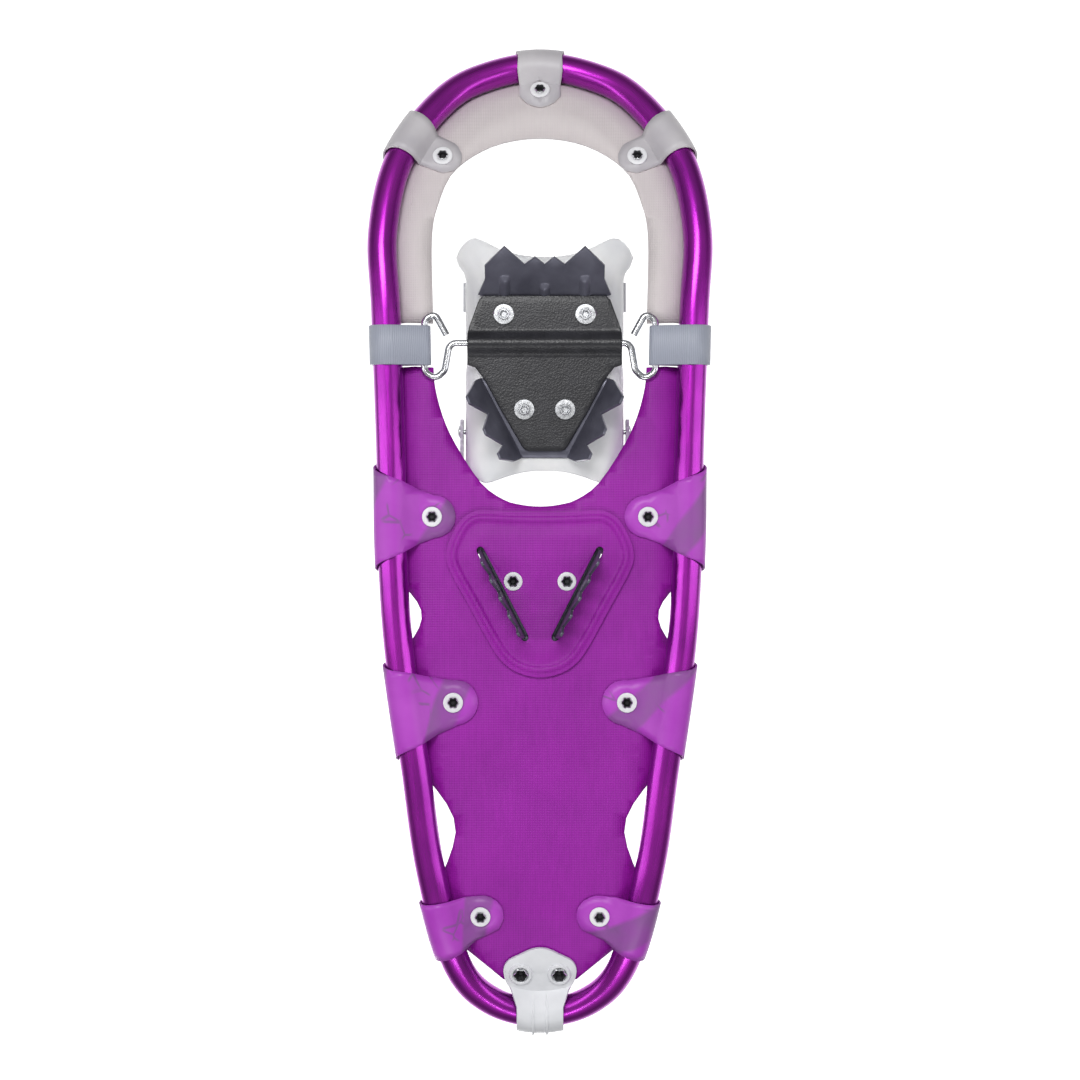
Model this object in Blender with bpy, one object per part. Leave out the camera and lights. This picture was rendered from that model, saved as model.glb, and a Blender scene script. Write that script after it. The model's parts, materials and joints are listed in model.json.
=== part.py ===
# One snowshoe: bent tube frame, two sheet decks, spiked hinged binding, tail clip and heel spikes.
# All shaping is done in millimetres; finish_object turns the result into metres.
# Flat layout: x across, v along the shoe (nose at +v), n up from the middle plane of the tube.
# roll_up then curls the nose and the tail upward.
import math

import bmesh
import bpy
import numpy as np
from mathutils import Matrix, Vector
from mathutils.geometry import delaunay_2d_cdt

# ---- driving dimensions (mm) ----
GROUND_TO_TUBE = 28.0       # spike tips up to the middle plane of the tube
LENGTH_SHIFT = -1.5         # moves the middle of the whole length onto the origin
TUBE_RADIUS = 9.5
TUBE_WALL = 1.3
TUBE_SIDES = 10
NOSE_START = 144.0          # where the nose begins to curl up
NOSE_CURL = 276.0           # radius of that curl
TAIL_START = -215.0
TAIL_CURL = 162.0
GAP = 0.3                   # air kept between touching pieces
DECK_THICK = 1.2
MAIN_FLAT = 17.3            # the main deck lies flat from here inboard of the tube's middle line
TOE_FLAT = 13.0
WRAP_GAP = 0.9              # air between the tube and the sheets wrapped round it
STEEL = 1.8
STRAP_WIDE = 25.4
STRAP_THICK = 1.6
ROD_RADIUS = 2.25
HOLE_RADIUS = 2.75          # rivet holes in the sheets
RIVET_SHANK = 2.2
AXLE_V = 126.0              # the binding's turning axis
BINDING_X = -3.0            # the binding sits a little off the middle on its rod
HINGE_WIDE = 49.5           # half width of the hinge plate
CRADLE_THICK = 2.2
SOLE_HALF = 34.0            # half of the flat part under the boot
SOLE_CORNER = 16.0
TOE_HEIGHT = 50.0           # height of the boot shape above the sole corner, at the toe
INSTEP_HEIGHT = 72.0
TOE_STRAP_V = 160.0
INSTEP_STRAP_V = 84.0
HEEL_PIVOT_V = 70.0
HEEL_PIVOT_N = 30.0
HEEL_STRAP_X = 53.6         # middle of the heel strap's ends, just outside the cradle wings

# heights above the tube's middle plane, worked out from the sheet thicknesses
DECK_LEVEL = ROD_RADIUS + DECK_THICK / 2 + 0.55      # decks pass above the rod's rings
TAB_LEVEL = DECK_LEVEL - DECK_THICK - GAP
WRAP_RADIUS = TUBE_RADIUS + WRAP_GAP + DECK_THICK / 2
PLATE_THICK = 2.0
PLATE_LEVEL = 0.6
SPIKE_LEVEL = PLATE_LEVEL + PLATE_THICK / 2 + GAP + STEEL / 2 + 0.1
CRADLE_LEVEL = SPIKE_LEVEL + STEEL / 2 + GAP + CRADLE_THICK / 2 + 0.1
STRAP_OFFSET = CRADLE_THICK / 2 + GAP + 1.7

# middle line of the right half of the tube, nose to tail
FRAME_KNOTS = [(0, 323.7), (33, 315.5), (61, 296), (90, 250.6), (100.9, 198.6), (98.7, 146.6), (95.5, 57),
               (94.5, -7), (90.3, -70.6), (79.6, -146.3), (70.3, -210.2), (53.5, -274), (31, -302.5), (0, -312.3)]

# name: (v of the foot on the tube, rivet inboard of the middle line, half width outside, end radius, power)
DECK_TABS = {
    "front": (14.6, 25.8, 32.3, 13.6, 1.0),
    "middle": (-108.6, 29.9, 30.0, 14.4, 1.0),
    "rear": (-248.0, 24.4, 19.3, 13.4, 0.8),
}
TOE_TABS = {"nose": (323.7, 19.8, 16.6, 12.2, 1.0), "side": (263.0, 24.0, 17.8, 11.2, 1.8)}


for leftover in list(bpy.data.objects):
    bpy.data.objects.remove(leftover, do_unlink=True)


# ---- materials ----
def material(name, colour, roughness, metallic=0.0):
    made = bpy.data.materials.get(name)
    if made is None:
        made = bpy.data.materials.new(name)
        made.use_nodes = True
        shader = made.node_tree.nodes["Principled BSDF"]
        shader.inputs["Base Color"].default_value = (*colour, 1.0)
        shader.inputs["Roughness"].default_value = roughness
        shader.inputs["Metallic"].default_value = metallic
        made.diffuse_color = (*colour, 1.0)
    return made


ANODISED = material("purple anodised aluminium", (0.27, 0.01, 0.30), 0.28, 1.0)
DECK_PURPLE = material("purple deck sheet", (0.33, 0.02, 0.38), 0.45)
DECK_GREY = material("warm grey deck sheet", (0.58, 0.52, 0.52), 0.5)
CLIP_GREY = material("light grey plastic", (0.66, 0.67, 0.70), 0.42)
WEBBING = material("grey webbing", (0.30, 0.32, 0.34), 0.5)
ZINC = material("zinc plated steel", (0.72, 0.73, 0.74), 0.25, 1.0)
RIVET_STEEL = material("rivet steel", (0.55, 0.56, 0.58), 0.3, 1.0)
WASHER_WHITE = material("white washer", (0.80, 0.80, 0.82), 0.4)
BLACK_PLATE = material("black grained plate", (0.018, 0.018, 0.02), 0.45)
SPIKE_STEEL = material("slate coated steel", (0.055, 0.055, 0.075), 0.4, 0.6)
MILKY = material("milky translucent plastic", (0.78, 0.78, 0.76), 0.4)
FOAM = material("dark foam", (0.05, 0.05, 0.06), 0.8)
STRAP_GREY = material("pale grey strap", (0.52, 0.53, 0.55), 0.5)
BUCKLE_DARK = material("charcoal buckle plastic", (0.06, 0.06, 0.07), 0.4)


# ---- shape helpers ----
def roll_up(x, v, n):
    # curls the flat layout up at nose and tail and returns true millimetres
    if v > NOSE_START:
        turn = (v - NOSE_START) / NOSE_CURL
        y = NOSE_START + (NOSE_CURL - n) * math.sin(turn)
        z = NOSE_CURL - (NOSE_CURL - n) * math.cos(turn)
    elif v < TAIL_START:
        turn = (TAIL_START - v) / TAIL_CURL
        y = TAIL_START - (TAIL_CURL - n) * math.sin(turn)
        z = TAIL_CURL - (TAIL_CURL - n) * math.cos(turn)
    else:
        y = v
        z = n
    return (x, y + LENGTH_SHIFT, z + GROUND_TO_TUBE)


def roll_matrix(x, v, n):
    # place and tilt of a fastener that stands on the curled layout
    turn = 0.0
    if v > NOSE_START:
        turn = (v - NOSE_START) / NOSE_CURL
    elif v < TAIL_START:
        turn = -(TAIL_START - v) / TAIL_CURL
    return Matrix.Translation(Vector(roll_up(x, v, n))) @ Matrix.Rotation(turn, 4, "X")


def smooth_through(knots, per_span):
    # Catmull-Rom curve through the knots; an end on x = 0 meets its own mirror image smoothly
    points = [np.array(knot, float) for knot in knots]
    mirror = np.array([-1.0, 1.0])
    first = points[1] * mirror if knots[0][0] == 0 else 2 * points[0] - points[1]
    last = points[-2] * mirror if knots[-1][0] == 0 else 2 * points[-1] - points[-2]
    run = [first] + points + [last]
    out = []
    for i in range(1, len(run) - 2):
        p0, p1, p2, p3 = run[i - 1:i + 3]
        for k in range(per_span):
            t = k / per_span
            out.append(0.5 * (2 * p1 + (p2 - p0) * t + (2 * p0 - 5 * p1 + 4 * p2 - p3) * t * t
                              + (3 * p1 - p0 - 3 * p2 + p3) * t ** 3))
    out.append(points[-1])
    return [tuple(point) for point in out]


def finish_object(name, mesh_builder, finish, smooth_angle=35.0):
    # mesh_builder is a bmesh in millimetres
    bmesh.ops.scale(mesh_builder, vec=(0.001, 0.001, 0.001), verts=mesh_builder.verts)
    bmesh.ops.recalc_face_normals(mesh_builder, faces=mesh_builder.faces)
    mesh = bpy.data.meshes.new(name)
    mesh_builder.to_mesh(mesh)
    mesh_builder.free()
    mesh.shade_smooth()
    mesh.set_sharp_from_angle(angle=math.radians(smooth_angle))
    made = bpy.data.objects.new(name, mesh)
    bpy.context.collection.objects.link(made)
    made.data.materials.append(finish)
    return made


def add_thickness(made, thickness, offset=0.0):
    shell = made.modifiers.new("thickness", "SOLIDIFY")
    shell.thickness = thickness / 1000
    shell.offset = offset
    shell.use_even_offset = True
    shell.use_rim = True


def inside(point, loop):
    x, y = point
    odd = False
    for (ax, ay), (bx, by) in zip(loop, loop[1:] + loop[:1]):
        if (ay > y) != (by > y) and x < (bx - ax) * (y - ay) / (by - ay) + ax:
            odd = not odd
    return odd


def edge_distance(point, loop):
    p = np.array(point)
    a = np.array(loop)
    b = np.roll(a, -1, axis=0)
    along = np.clip(((p - a) * (b - a)).sum(1) / np.maximum(((b - a) ** 2).sum(1), 1e-9), 0, 1)
    return float(np.linalg.norm(a + along[:, None] * (b - a) - p, axis=1).min())


def circle(cx, cy, radius, count):
    return [(cx + radius * math.cos(2 * math.pi * k / count), cy + radius * math.sin(2 * math.pi * k / count))
            for k in range(count)]


def mirrored(half):
    # half outline from the +x side, first and last points on x = 0, made into a closed loop
    return half + [(-x, v) for x, v in reversed(half) if abs(x) > 1e-6]


def slot(start, end, half_width, count=5):
    # long hole with round ends
    a = Vector(start)
    b = Vector(end)
    heading = math.atan2(b.y - a.y, b.x - a.x)
    loop = []
    for centre, base in ((b, heading - math.pi / 2), (a, heading + math.pi / 2)):
        for k in range(count):
            angle = base + math.pi * k / (count - 1)
            loop.append((centre.x + half_width * math.cos(angle), centre.y + half_width * math.sin(angle)))
    return loop


def cut_sheet(outline, holes, inner_points, shape):
    # flat pattern cut to its outline, with holes, then laid into space by shape(x, v)
    coords = []
    edges = []
    for loop in [outline] + holes:
        start = len(coords)
        coords += [Vector(point) for point in loop]
        edges += [(start + k, start + (k + 1) % len(loop)) for k in range(len(loop))]
    for point in inner_points:
        clear = min(edge_distance(point, loop) for loop in [outline] + holes)
        if clear > 0.9 and inside(point, outline) and not any(inside(point, hole) for hole in holes):
            coords.append(Vector(point))
    found = delaunay_2d_cdt(coords, edges, [], 0, 1e-5)
    points = [(p.x, p.y) for p in found[0]]
    builder = bmesh.new()
    made = [builder.verts.new(shape(x, v)) for x, v in points]
    for face in found[2]:
        middle = (sum(points[i][0] for i in face) / len(face), sum(points[i][1] for i in face) / len(face))
        if inside(middle, outline) and not any(inside(middle, hole) for hole in holes):
            builder.faces.new([made[i] for i in face])
    loose = [vert for vert in builder.verts if not vert.link_faces]
    bmesh.ops.delete(builder, geom=loose, context="VERTS")
    return builder


def turned(profile, sides, matrix=None):
    # closed profile of (radius, height) spun round z; a radius of 0 lies on the axis
    builder = bmesh.new()
    rings = []
    for radius, height in profile:
        if radius < 1e-6:
            rings.append([builder.verts.new((0, 0, height))] * sides)
        else:
            rings.append([builder.verts.new((x, y, height)) for x, y in circle(0, 0, radius, sides)])
    for ring, following in zip(rings, rings[1:] + rings[:1]):
        for k in range(sides):
            corners = [ring[k], ring[(k + 1) % sides], following[(k + 1) % sides], following[k]]
            unique = list(dict.fromkeys(corners))
            if len(unique) > 2:
                builder.faces.new(unique)
    if matrix:
        bmesh.ops.transform(builder, matrix=matrix, verts=builder.verts)
    return builder


def swept_rod(path, radius, sides):
    # round bar along a path of 3D points, ends capped
    builder = bmesh.new()
    points = [Vector(point) for point in path]
    normal = Vector((0, 0, 1))
    rings = []
    for i, point in enumerate(points):
        ahead = points[min(i + 1, len(points) - 1)] - points[max(i - 1, 0)]
        ahead.normalize()
        normal = (normal - ahead * normal.dot(ahead)).normalized()
        side = ahead.cross(normal)
        rings.append([builder.verts.new(point + radius * (normal * math.cos(2 * math.pi * k / sides)
                                                          + side * math.sin(2 * math.pi * k / sides)))
                      for k in range(sides)])
    for ring, following in zip(rings, rings[1:]):
        for k in range(sides):
            builder.faces.new([ring[k], ring[(k + 1) % sides], following[(k + 1) % sides], following[k]])
    builder.faces.new(rings[0])
    builder.faces.new(rings[-1])
    return builder


def rounded_path(corners, radius, steps):
    # polyline with its inner corners rounded
    points = [Vector(corner) for corner in corners]
    out = [points[0]]
    for before, corner, after in zip(points, points[1:], points[2:]):
        a = (before - corner).normalized()
        b = (after - corner).normalized()
        half = a.angle(b) / 2
        reach = min(radius / math.tan(half), 0.45 * (before - corner).length, 0.45 * (after - corner).length)
        size = reach * math.tan(half)
        centre = corner + (a + b).normalized() * (size / math.sin(half))
        start = corner + a * reach - centre
        finish = corner + b * reach - centre
        for k in range(steps + 1):
            out.append(centre + (start * (1 - k / steps) + finish * (k / steps)).normalized() * size)
    out.append(points[-1])
    return out


def boxed(low, high):
    builder = bmesh.new()
    bmesh.ops.create_cube(builder, size=1.0)
    size = [b - a for a, b in zip(low, high)]
    middle = [(a + b) / 2 for a, b in zip(low, high)]
    bmesh.ops.scale(builder, vec=size, verts=builder.verts)
    bmesh.ops.translate(builder, vec=middle, verts=builder.verts)
    return builder


# ---- the tube's middle line and the way sheets wrap round it ----
LINE = np.array(smooth_through(FRAME_KNOTS, 12))
LINE_LENGTH = np.concatenate([[0], np.cumsum(np.linalg.norm(np.diff(LINE, axis=0), axis=1))])
TANGENT = np.gradient(LINE, axis=0)
TANGENT /= np.linalg.norm(TANGENT, axis=1)[:, None]
TANGENT[0] = (1, 0)
TANGENT[-1] = (-1, 0)
INWARD = np.stack([TANGENT[:, 1], -TANGENT[:, 0]], axis=1)


def line_at(length):
    # foot point and inward direction at a length along the right half of the middle line
    side = 1.0
    if length < 0:
        length = -length
        side = -1.0
    if length > LINE_LENGTH[-1]:
        length = 2 * LINE_LENGTH[-1] - length
        side = -1.0
    foot = [np.interp(length, LINE_LENGTH, LINE[:, k]) for k in (0, 1)]
    inward = np.array([np.interp(length, LINE_LENGTH, INWARD[:, k]) for k in (0, 1)])
    inward /= np.linalg.norm(inward)
    return np.array([side * foot[0], foot[1]]), np.array([side * inward[0], inward[1]])


def length_at(v):
    return float(np.interp(-v, -LINE[:, 1], LINE_LENGTH))


def nearest_on_line(x, v):
    # length along the line and signed distance inboard of it
    p = np.array([abs(x), v])
    a = LINE[:-1]
    step = LINE[1:] - a
    along = np.clip(((p - a) * step).sum(1) / (step ** 2).sum(1), 0, 1)
    away = p - (a + along[:, None] * step)
    i = int(np.argmin((away ** 2).sum(1)))
    length = LINE_LENGTH[i] + along[i] * (LINE_LENGTH[i + 1] - LINE_LENGTH[i])
    foot, inward = line_at(length)
    return foot, inward, float((p - foot).dot(inward))


class Wrap:
    # a sheet that lies flat inboard, rises to the tube, goes round it and may come back underneath;
    # path is the length measured outward from where the flat part ends

    def __init__(self, radius, flat_from, top_level, low_level):
        self.radius = radius
        self.flat_from = flat_from
        self.top_level = top_level
        self.low_level = low_level
        reach = math.hypot(flat_from, top_level)
        self.top_angle = math.acos(radius / reach) + math.atan2(top_level, flat_from)
        self.top_run = math.sqrt(reach ** 2 - radius ** 2)
        reach = math.hypot(flat_from, low_level)
        self.low_angle = math.acos(radius / reach) - math.atan2(low_level, flat_from)
        self.low_run = math.sqrt(reach ** 2 - radius ** 2)
        self.arc = radius * (2 * math.pi - self.top_angle - self.low_angle)

    def to_angle(self, degrees):
        # path at which the sheet has reached this angle round the tube (90 is the top)
        return self.top_run + self.radius * (math.radians(degrees) - self.top_angle)

    def back(self, inboard):
        # path at which the returning sheet is this far inboard again
        return self.top_run + self.arc + self.low_run + inboard - self.flat_from

    def rows(self, count):
        # paths at which a wrapped sheet needs a row of points
        turn = [self.top_run + self.arc * k / count for k in range(count + 1)]
        return [0.0] + turn + [self.back(self.flat_from)]

    def profile(self, path):
        # distance inboard of the tube's middle line, and height
        if path <= 0:
            return self.flat_from - path, self.top_level
        if path <= self.top_run:
            k = path / self.top_run
            touch = (self.radius * math.cos(self.top_angle), self.radius * math.sin(self.top_angle))
            return (self.flat_from + (touch[0] - self.flat_from) * k,
                    self.top_level + (touch[1] - self.top_level) * k)
        if path <= self.top_run + self.arc:
            angle = self.top_angle + (path - self.top_run) / self.radius
            return self.radius * math.cos(angle), self.radius * math.sin(angle)
        path -= self.top_run + self.arc
        if path > self.low_run:
            return self.flat_from + path - self.low_run, self.low_level
        k = path / self.low_run
        touch = (self.radius * math.cos(self.low_angle), -self.radius * math.sin(self.low_angle))
        return touch[0] + (self.flat_from - touch[0]) * k, touch[1] + (self.low_level - touch[1]) * k

    def pattern(self, length, path):
        # point of the flat pattern, before it is wrapped
        foot, inward = line_at(length)
        point = foot + inward * (self.flat_from - path)
        return (float(point[0]), float(point[1]))

    def lay(self, x, v):
        foot, inward, inboard = nearest_on_line(x, v)
        if inboard >= self.flat_from:
            return roll_up(x, v, self.top_level)
        away, height = self.profile(self.flat_from - inboard)
        point = foot + inward * away
        return roll_up(math.copysign(point[0], x), point[1], height)


MAIN_WRAP = Wrap(WRAP_RADIUS, MAIN_FLAT, DECK_LEVEL, TAB_LEVEL)
TOE_WRAP = Wrap(WRAP_RADIUS, TOE_FLAT, DECK_LEVEL, TAB_LEVEL)
EDGE_ANGLE = 97             # between its tabs a deck ends just past the top of the tube
WRAP_ROWS = 10


def bend_factor(length, away):
    # how much a width shrinks when it moves inboard of a curved middle line
    before, _ = line_at(length - 6)
    here, inward = line_at(length)
    after, _ = line_at(length + 6)
    sag = float(((before + after) / 2 - here).dot(inward))
    return 1 - away * 2 * sag / 36


def tab_outline(wrap, tab):
    # one tab of a deck: down one edge, round the end and back up, as pattern points
    foot_v, rivet_in, half_outside, end_radius, power = tab
    centre = length_at(foot_v)
    start_path = wrap.to_angle(EDGE_ANGLE)
    rivet_path = wrap.back(rivet_in + 1.5)
    outside_path = wrap.to_angle(180)
    edge = []
    rows = [start_path] + [row for row in wrap.rows(WRAP_ROWS) if start_path + 2 < row < rivet_path - 2]
    for path in rows + [rivet_path]:
        share = (rivet_path - path) / (rivet_path - outside_path)
        half = end_radius + (half_outside - end_radius) * share ** power
        away, _ = wrap.profile(path)
        edge.append((half / bend_factor(centre, away), path))
    shrink = bend_factor(centre, rivet_in)
    end = [(end_radius * math.cos(math.pi * k / 6) / shrink, rivet_path + end_radius * math.sin(math.pi * k / 6))
           for k in range(1, 6)]
    loop = edge + end + [(-across, path) for across, path in reversed(edge)]
    return [wrap.pattern(centre - across, path) for across, path in loop], centre, loop[0][0]


def tab_guides(wrap, tab):
    # rows of extra points so the tab bends smoothly round the tube
    centre = length_at(tab[0])
    points = []
    for row in wrap.rows(WRAP_ROWS):
        step = 4 if row == wrap.back(wrap.flat_from) else 15
        points += [wrap.pattern(centre + across, row) for across in range(-3 * step, 3 * step + 1, step)]
    return points


def rivet_holes(wrap, tab, side=1):
    # the matching holes in the deck and in the tab under it
    centre = length_at(tab[0])
    foot, inward = line_at(centre)
    x, v = foot + inward * tab[1]
    shrink = bend_factor(centre, tab[1])
    tab_hole = [wrap.pattern(centre + across / shrink, wrap.back(tab[1]) + path)
                for across, path in circle(0, 0, HOLE_RADIUS, 8)]
    return [circle(side * x, v, HOLE_RADIUS, 8), [(side * x, v) for x, v in tab_hole]]


def flip(points):
    return [(-x, v) for x, v in points]


# ---- frame ----
def frame_tube():
    path = [(x, v) for x, v in zip(LINE[::3, 0], LINE[::3, 1])]
    path[-1] = (GAP, path[-1][1])
    loop = list(reversed(path)) + [(-x, v) for x, v in path[1:]]
    builder = bmesh.new()
    rings = []
    for i, (x, v) in enumerate(loop):
        ahead = np.array(loop[min(i + 1, len(loop) - 1)]) - np.array(loop[max(i - 1, 0)])
        ahead = ahead / np.linalg.norm(ahead)
        if i in (0, len(loop) - 1):
            ahead = np.array([1.0, 0.0])
        across = np.array([ahead[1], -ahead[0]])
        ring = []
        for k in range(TUBE_SIDES):
            angle = 2 * math.pi * (k + 0.5) / TUBE_SIDES
            reach = TUBE_RADIUS * math.cos(angle)
            ring.append(builder.verts.new(roll_up(x + across[0] * reach, v + across[1] * reach,
                                                  TUBE_RADIUS * math.sin(angle))))
        rings.append(ring)
    for ring, following in zip(rings, rings[1:]):
        for k in range(TUBE_SIDES):
            builder.faces.new([ring[k], ring[(k + 1) % TUBE_SIDES],
                               following[(k + 1) % TUBE_SIDES], following[k]])
    made = finish_object("frame_tube", builder, ANODISED)
    add_thickness(made, TUBE_WALL, -1.0)
    return made


def tube_joint_sleeve():
    # plug inside the two tube ends that meet under the tail clip
    path = []
    for k in range(-4, 5):
        foot, _ = line_at(LINE_LENGTH[-1] + 4.5 * k)
        path.append(roll_up(foot[0], foot[1], 0.0))
    return finish_object("tube_joint_sleeve", swept_rod(path, TUBE_RADIUS - TUBE_WALL - 0.9, 10), RIVET_STEEL)


# ---- decks ----
MAIN_OPENING = [(0, 21.5), (12, 22.6), (23.5, 26), (38, 36.8), (54.2, 61.5), (62.4, 79.5), (67.2, 98),
                (68.2, 110.6)]
SLOT_FRONT = (38.2, -6.6)
SLOT_BACK = (9.7, -62.4)
SLOT_HALF = 2.5
HEEL_RIVET = (17.2, -26.5)


def crescent(wrap, start_length, end_length, inboard, bulge=1.0):
    # concave deck edge between two tabs, deepest this far inboard of the tube's middle line
    edge_path = wrap.to_angle(EDGE_ANGLE)
    depth_path = wrap.flat_from - inboard
    points = []
    for k in range(1, 9):
        share = k / 9
        dip = math.sin(math.pi * share) ** bulge
        path = edge_path + (depth_path - edge_path) * dip
        points.append(wrap.pattern(start_length + (end_length - start_length) * share, path))
    return points


def heel_slots():
    return [slot(SLOT_FRONT, SLOT_BACK, SLOT_HALF),
            slot((-SLOT_FRONT[0], SLOT_FRONT[1]), (-SLOT_BACK[0], SLOT_BACK[1]), SLOT_HALF)]


def main_deck():
    wrap = MAIN_WRAP
    edge_path = wrap.to_angle(EDGE_ANGLE)
    half = smooth_through(MAIN_OPENING, 3)
    front = length_at(MAIN_OPENING[-1][1])
    half += [wrap.pattern(front, path) for path in (0, wrap.top_run)]
    tabs = [tab_outline(wrap, DECK_TABS[name]) for name in ("front", "middle", "rear")]
    arm_end = tabs[0][1] - tabs[0][2] - 6
    half += [wrap.pattern(front + (arm_end - front) * k / 3, edge_path) for k in range(4)]
    half += tabs[0][0]
    half += crescent(wrap, tabs[0][1] + tabs[0][2], tabs[1][1] - tabs[1][2], 16.5)
    half += tabs[1][0]
    half += crescent(wrap, tabs[1][1] + tabs[1][2], tabs[2][1] - tabs[2][2], 20.3, 1.2)
    half += tabs[2][0]
    half += [(54.0, -268.0), (47.5, -268.0), (23.6, -287.6), (19.0, -288.5), (0, -288.5)]
    holes = heel_slots() + [circle(s * x, v, HOLE_RADIUS, 8) for x, v in (HEEL_RIVET, TAIL_RIVET) for s in (1, -1)]
    inner = []
    for tab in DECK_TABS.values():
        holes += rivet_holes(wrap, tab, 1) + rivet_holes(wrap, tab, -1)
        inner += tab_guides(wrap, tab) + flip(tab_guides(wrap, tab))
    for row in (0, wrap.top_run, wrap.to_angle(88)):
        points = [wrap.pattern(front + 20 * k, row) for k in range(1, 20)]
        inner += points + flip(points)
    inner += [(x, v) for v in (-215, -230, -245, -260, -275) for x in range(-40, 41, 16)]
    made = finish_object("main_deck", cut_sheet(mirrored(half), holes, inner, wrap.lay), DECK_PURPLE)
    add_thickness(made, DECK_THICK)
    return made


TOE_OPENING = [(0, 266.1), (23.5, 262.6), (43.2, 252.6), (57.9, 237.9), (65.9, 216.4), (68.8, 202.7),
               (69.5, 185.4), (68.9, 160), (68.4, 138.6)]


def toe_deck():
    wrap = TOE_WRAP
    edge_path = wrap.to_angle(EDGE_ANGLE)
    half = smooth_through(TOE_OPENING, 3)
    front = length_at(TOE_OPENING[-1][1])
    half += [wrap.pattern(front, path) for path in (0, wrap.top_run)]
    side_loop, side_centre, side_half = tab_outline(wrap, TOE_TABS["side"])
    nose_loop, _, nose_half = tab_outline(wrap, TOE_TABS["nose"])
    half += [wrap.pattern(front + (side_centre + side_half - front) * k / 7, edge_path) for k in range(7)]
    half += list(reversed(side_loop))
    start = side_centre - side_half
    half += [wrap.pattern(start + (nose_half - start) * k / 3, edge_path) for k in range(1, 3)]
    half += [point for point in reversed(nose_loop) if point[0] > 0.01]
    half.append((0.0, wrap.pattern(0, wrap.back(TOE_TABS["nose"][1] + 1.5) + TOE_TABS["nose"][3])[1]))
    holes = rivet_holes(wrap, TOE_TABS["nose"])
    holes += rivet_holes(wrap, TOE_TABS["side"]) + rivet_holes(wrap, TOE_TABS["side"], -1)
    inner = tab_guides(wrap, TOE_TABS["nose"])
    inner += tab_guides(wrap, TOE_TABS["side"]) + flip(tab_guides(wrap, TOE_TABS["side"]))
    for row in (0, wrap.top_run, wrap.to_angle(88)):
        points = [wrap.pattern(front * k / 14, row) for k in range(1, 14)]
        inner += points + flip(points) + [wrap.pattern(0, row)]
    made = finish_object("toe_deck", cut_sheet(mirrored(half), holes, inner, wrap.lay), DECK_GREY)
    add_thickness(made, DECK_THICK)
    return made


# ---- rivets and washers ----
def washer(name, outer, inner, thick, matrix, finish, sides=12):
    profile = [(inner, 0), (inner, -thick), (outer, -thick), (outer, 0)]
    return finish_object(name, turned(profile, sides, matrix), finish)


def rivet(name, top, bottom, matrix, head_radius=5.0, foot_radius=3.4, foot_thick=0.9, sides=8):
    # domed head above, shank through the stack, flared foot with a hollow end below
    profile = [(0, top + 1.9), (head_radius * 0.6, top + 1.6), (head_radius, top + 0.4), (head_radius, top),
               (RIVET_SHANK, top), (RIVET_SHANK, bottom), (foot_radius, bottom),
               (foot_radius, bottom - foot_thick * 0.6), (2.3, bottom - foot_thick),
               (1.5, bottom - foot_thick * 0.5), (1.4, bottom + 1.6), (0, bottom + 1.6)]
    return finish_object(name, turned(profile, sides, matrix), RIVET_STEEL)


WASHER_THICK = 1.0
WASHER_TOP = TAB_LEVEL - DECK_THICK / 2 - GAP


def tab_fasteners(names, tab, side):
    foot, inward = line_at(length_at(tab[0]))
    x, v = foot + inward * tab[1]
    matrix = roll_matrix(side * x, v, 0.0)
    rivet(names[0], DECK_LEVEL + DECK_THICK / 2 + GAP, WASHER_TOP - WASHER_THICK - GAP, matrix)
    washer(names[1], 6.4, HOLE_RADIUS, WASHER_THICK,
           matrix @ Matrix.Translation((0, 0, WASHER_TOP)), WASHER_WHITE)


# ---- tail clip ----
TAIL_RIVET = (12.4, -281.5)
CLIP_THICK = 2.4
CLIP_REACH = DECK_THICK / 2 + GAP + CLIP_THICK / 2 + 0.4
CLIP_WRAP = Wrap(TUBE_RADIUS + 1.3 + CLIP_THICK / 2, 17.5, DECK_LEVEL + CLIP_REACH, DECK_LEVEL - CLIP_REACH)
CLIP_ROWS = 10


def tube_v(x):
    # where the tail bend of the tube's middle line crosses this x
    tail = LINE[len(LINE) * 3 // 4:][::-1]
    return float(np.interp(abs(x), tail[:, 0], tail[:, 1]))


def lay_clip(x, path):
    away, height = CLIP_WRAP.profile(path)
    return roll_up(x, tube_v(x) + away, height)


CLIP_HEAD = [(0, -263.0), (6, -264.2), (12.5, -267.5), (20.2, -271.8), (23.2, -276.7), (23.3, -281.9),
             (21.8, -287.7), (18.6, -294.0)]


def clip_top_path(x, v):
    return CLIP_WRAP.flat_from - (v - tube_v(x))


def clip_low_path(x, v):
    return CLIP_WRAP.back(v - tube_v(x))


def clip_pattern():
    # half outline of the clip's flat pattern as (across, path): upper plate, neck, lower plate
    top = [(x, clip_top_path(x, v - 2)) for x, v in CLIP_HEAD]
    low = [(x, clip_low_path(x, v)) for x, v in reversed(CLIP_HEAD)]
    neck = [(15.0, row) for row in CLIP_WRAP.rows(CLIP_ROWS)[1:-1]]
    return top + neck + low


def tail_clip():
    holes = []
    for side in (1, -1):
        rim = circle(TAIL_RIVET[0], TAIL_RIVET[1], HOLE_RADIUS, 8)
        holes.append([(side * x, clip_top_path(x, v)) for x, v in rim])
        holes.append([(side * x, clip_low_path(x, v)) for x, v in rim])
    inner = []
    for path in CLIP_WRAP.rows(CLIP_ROWS):
        inner += [(x, path) for x in (-12, -8, -4, 0, 4, 8, 12)]
    made = finish_object("tail_clip", cut_sheet(mirrored(clip_pattern()), holes, inner, lay_clip), CLIP_GREY)
    add_thickness(made, CLIP_THICK)
    return made


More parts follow.
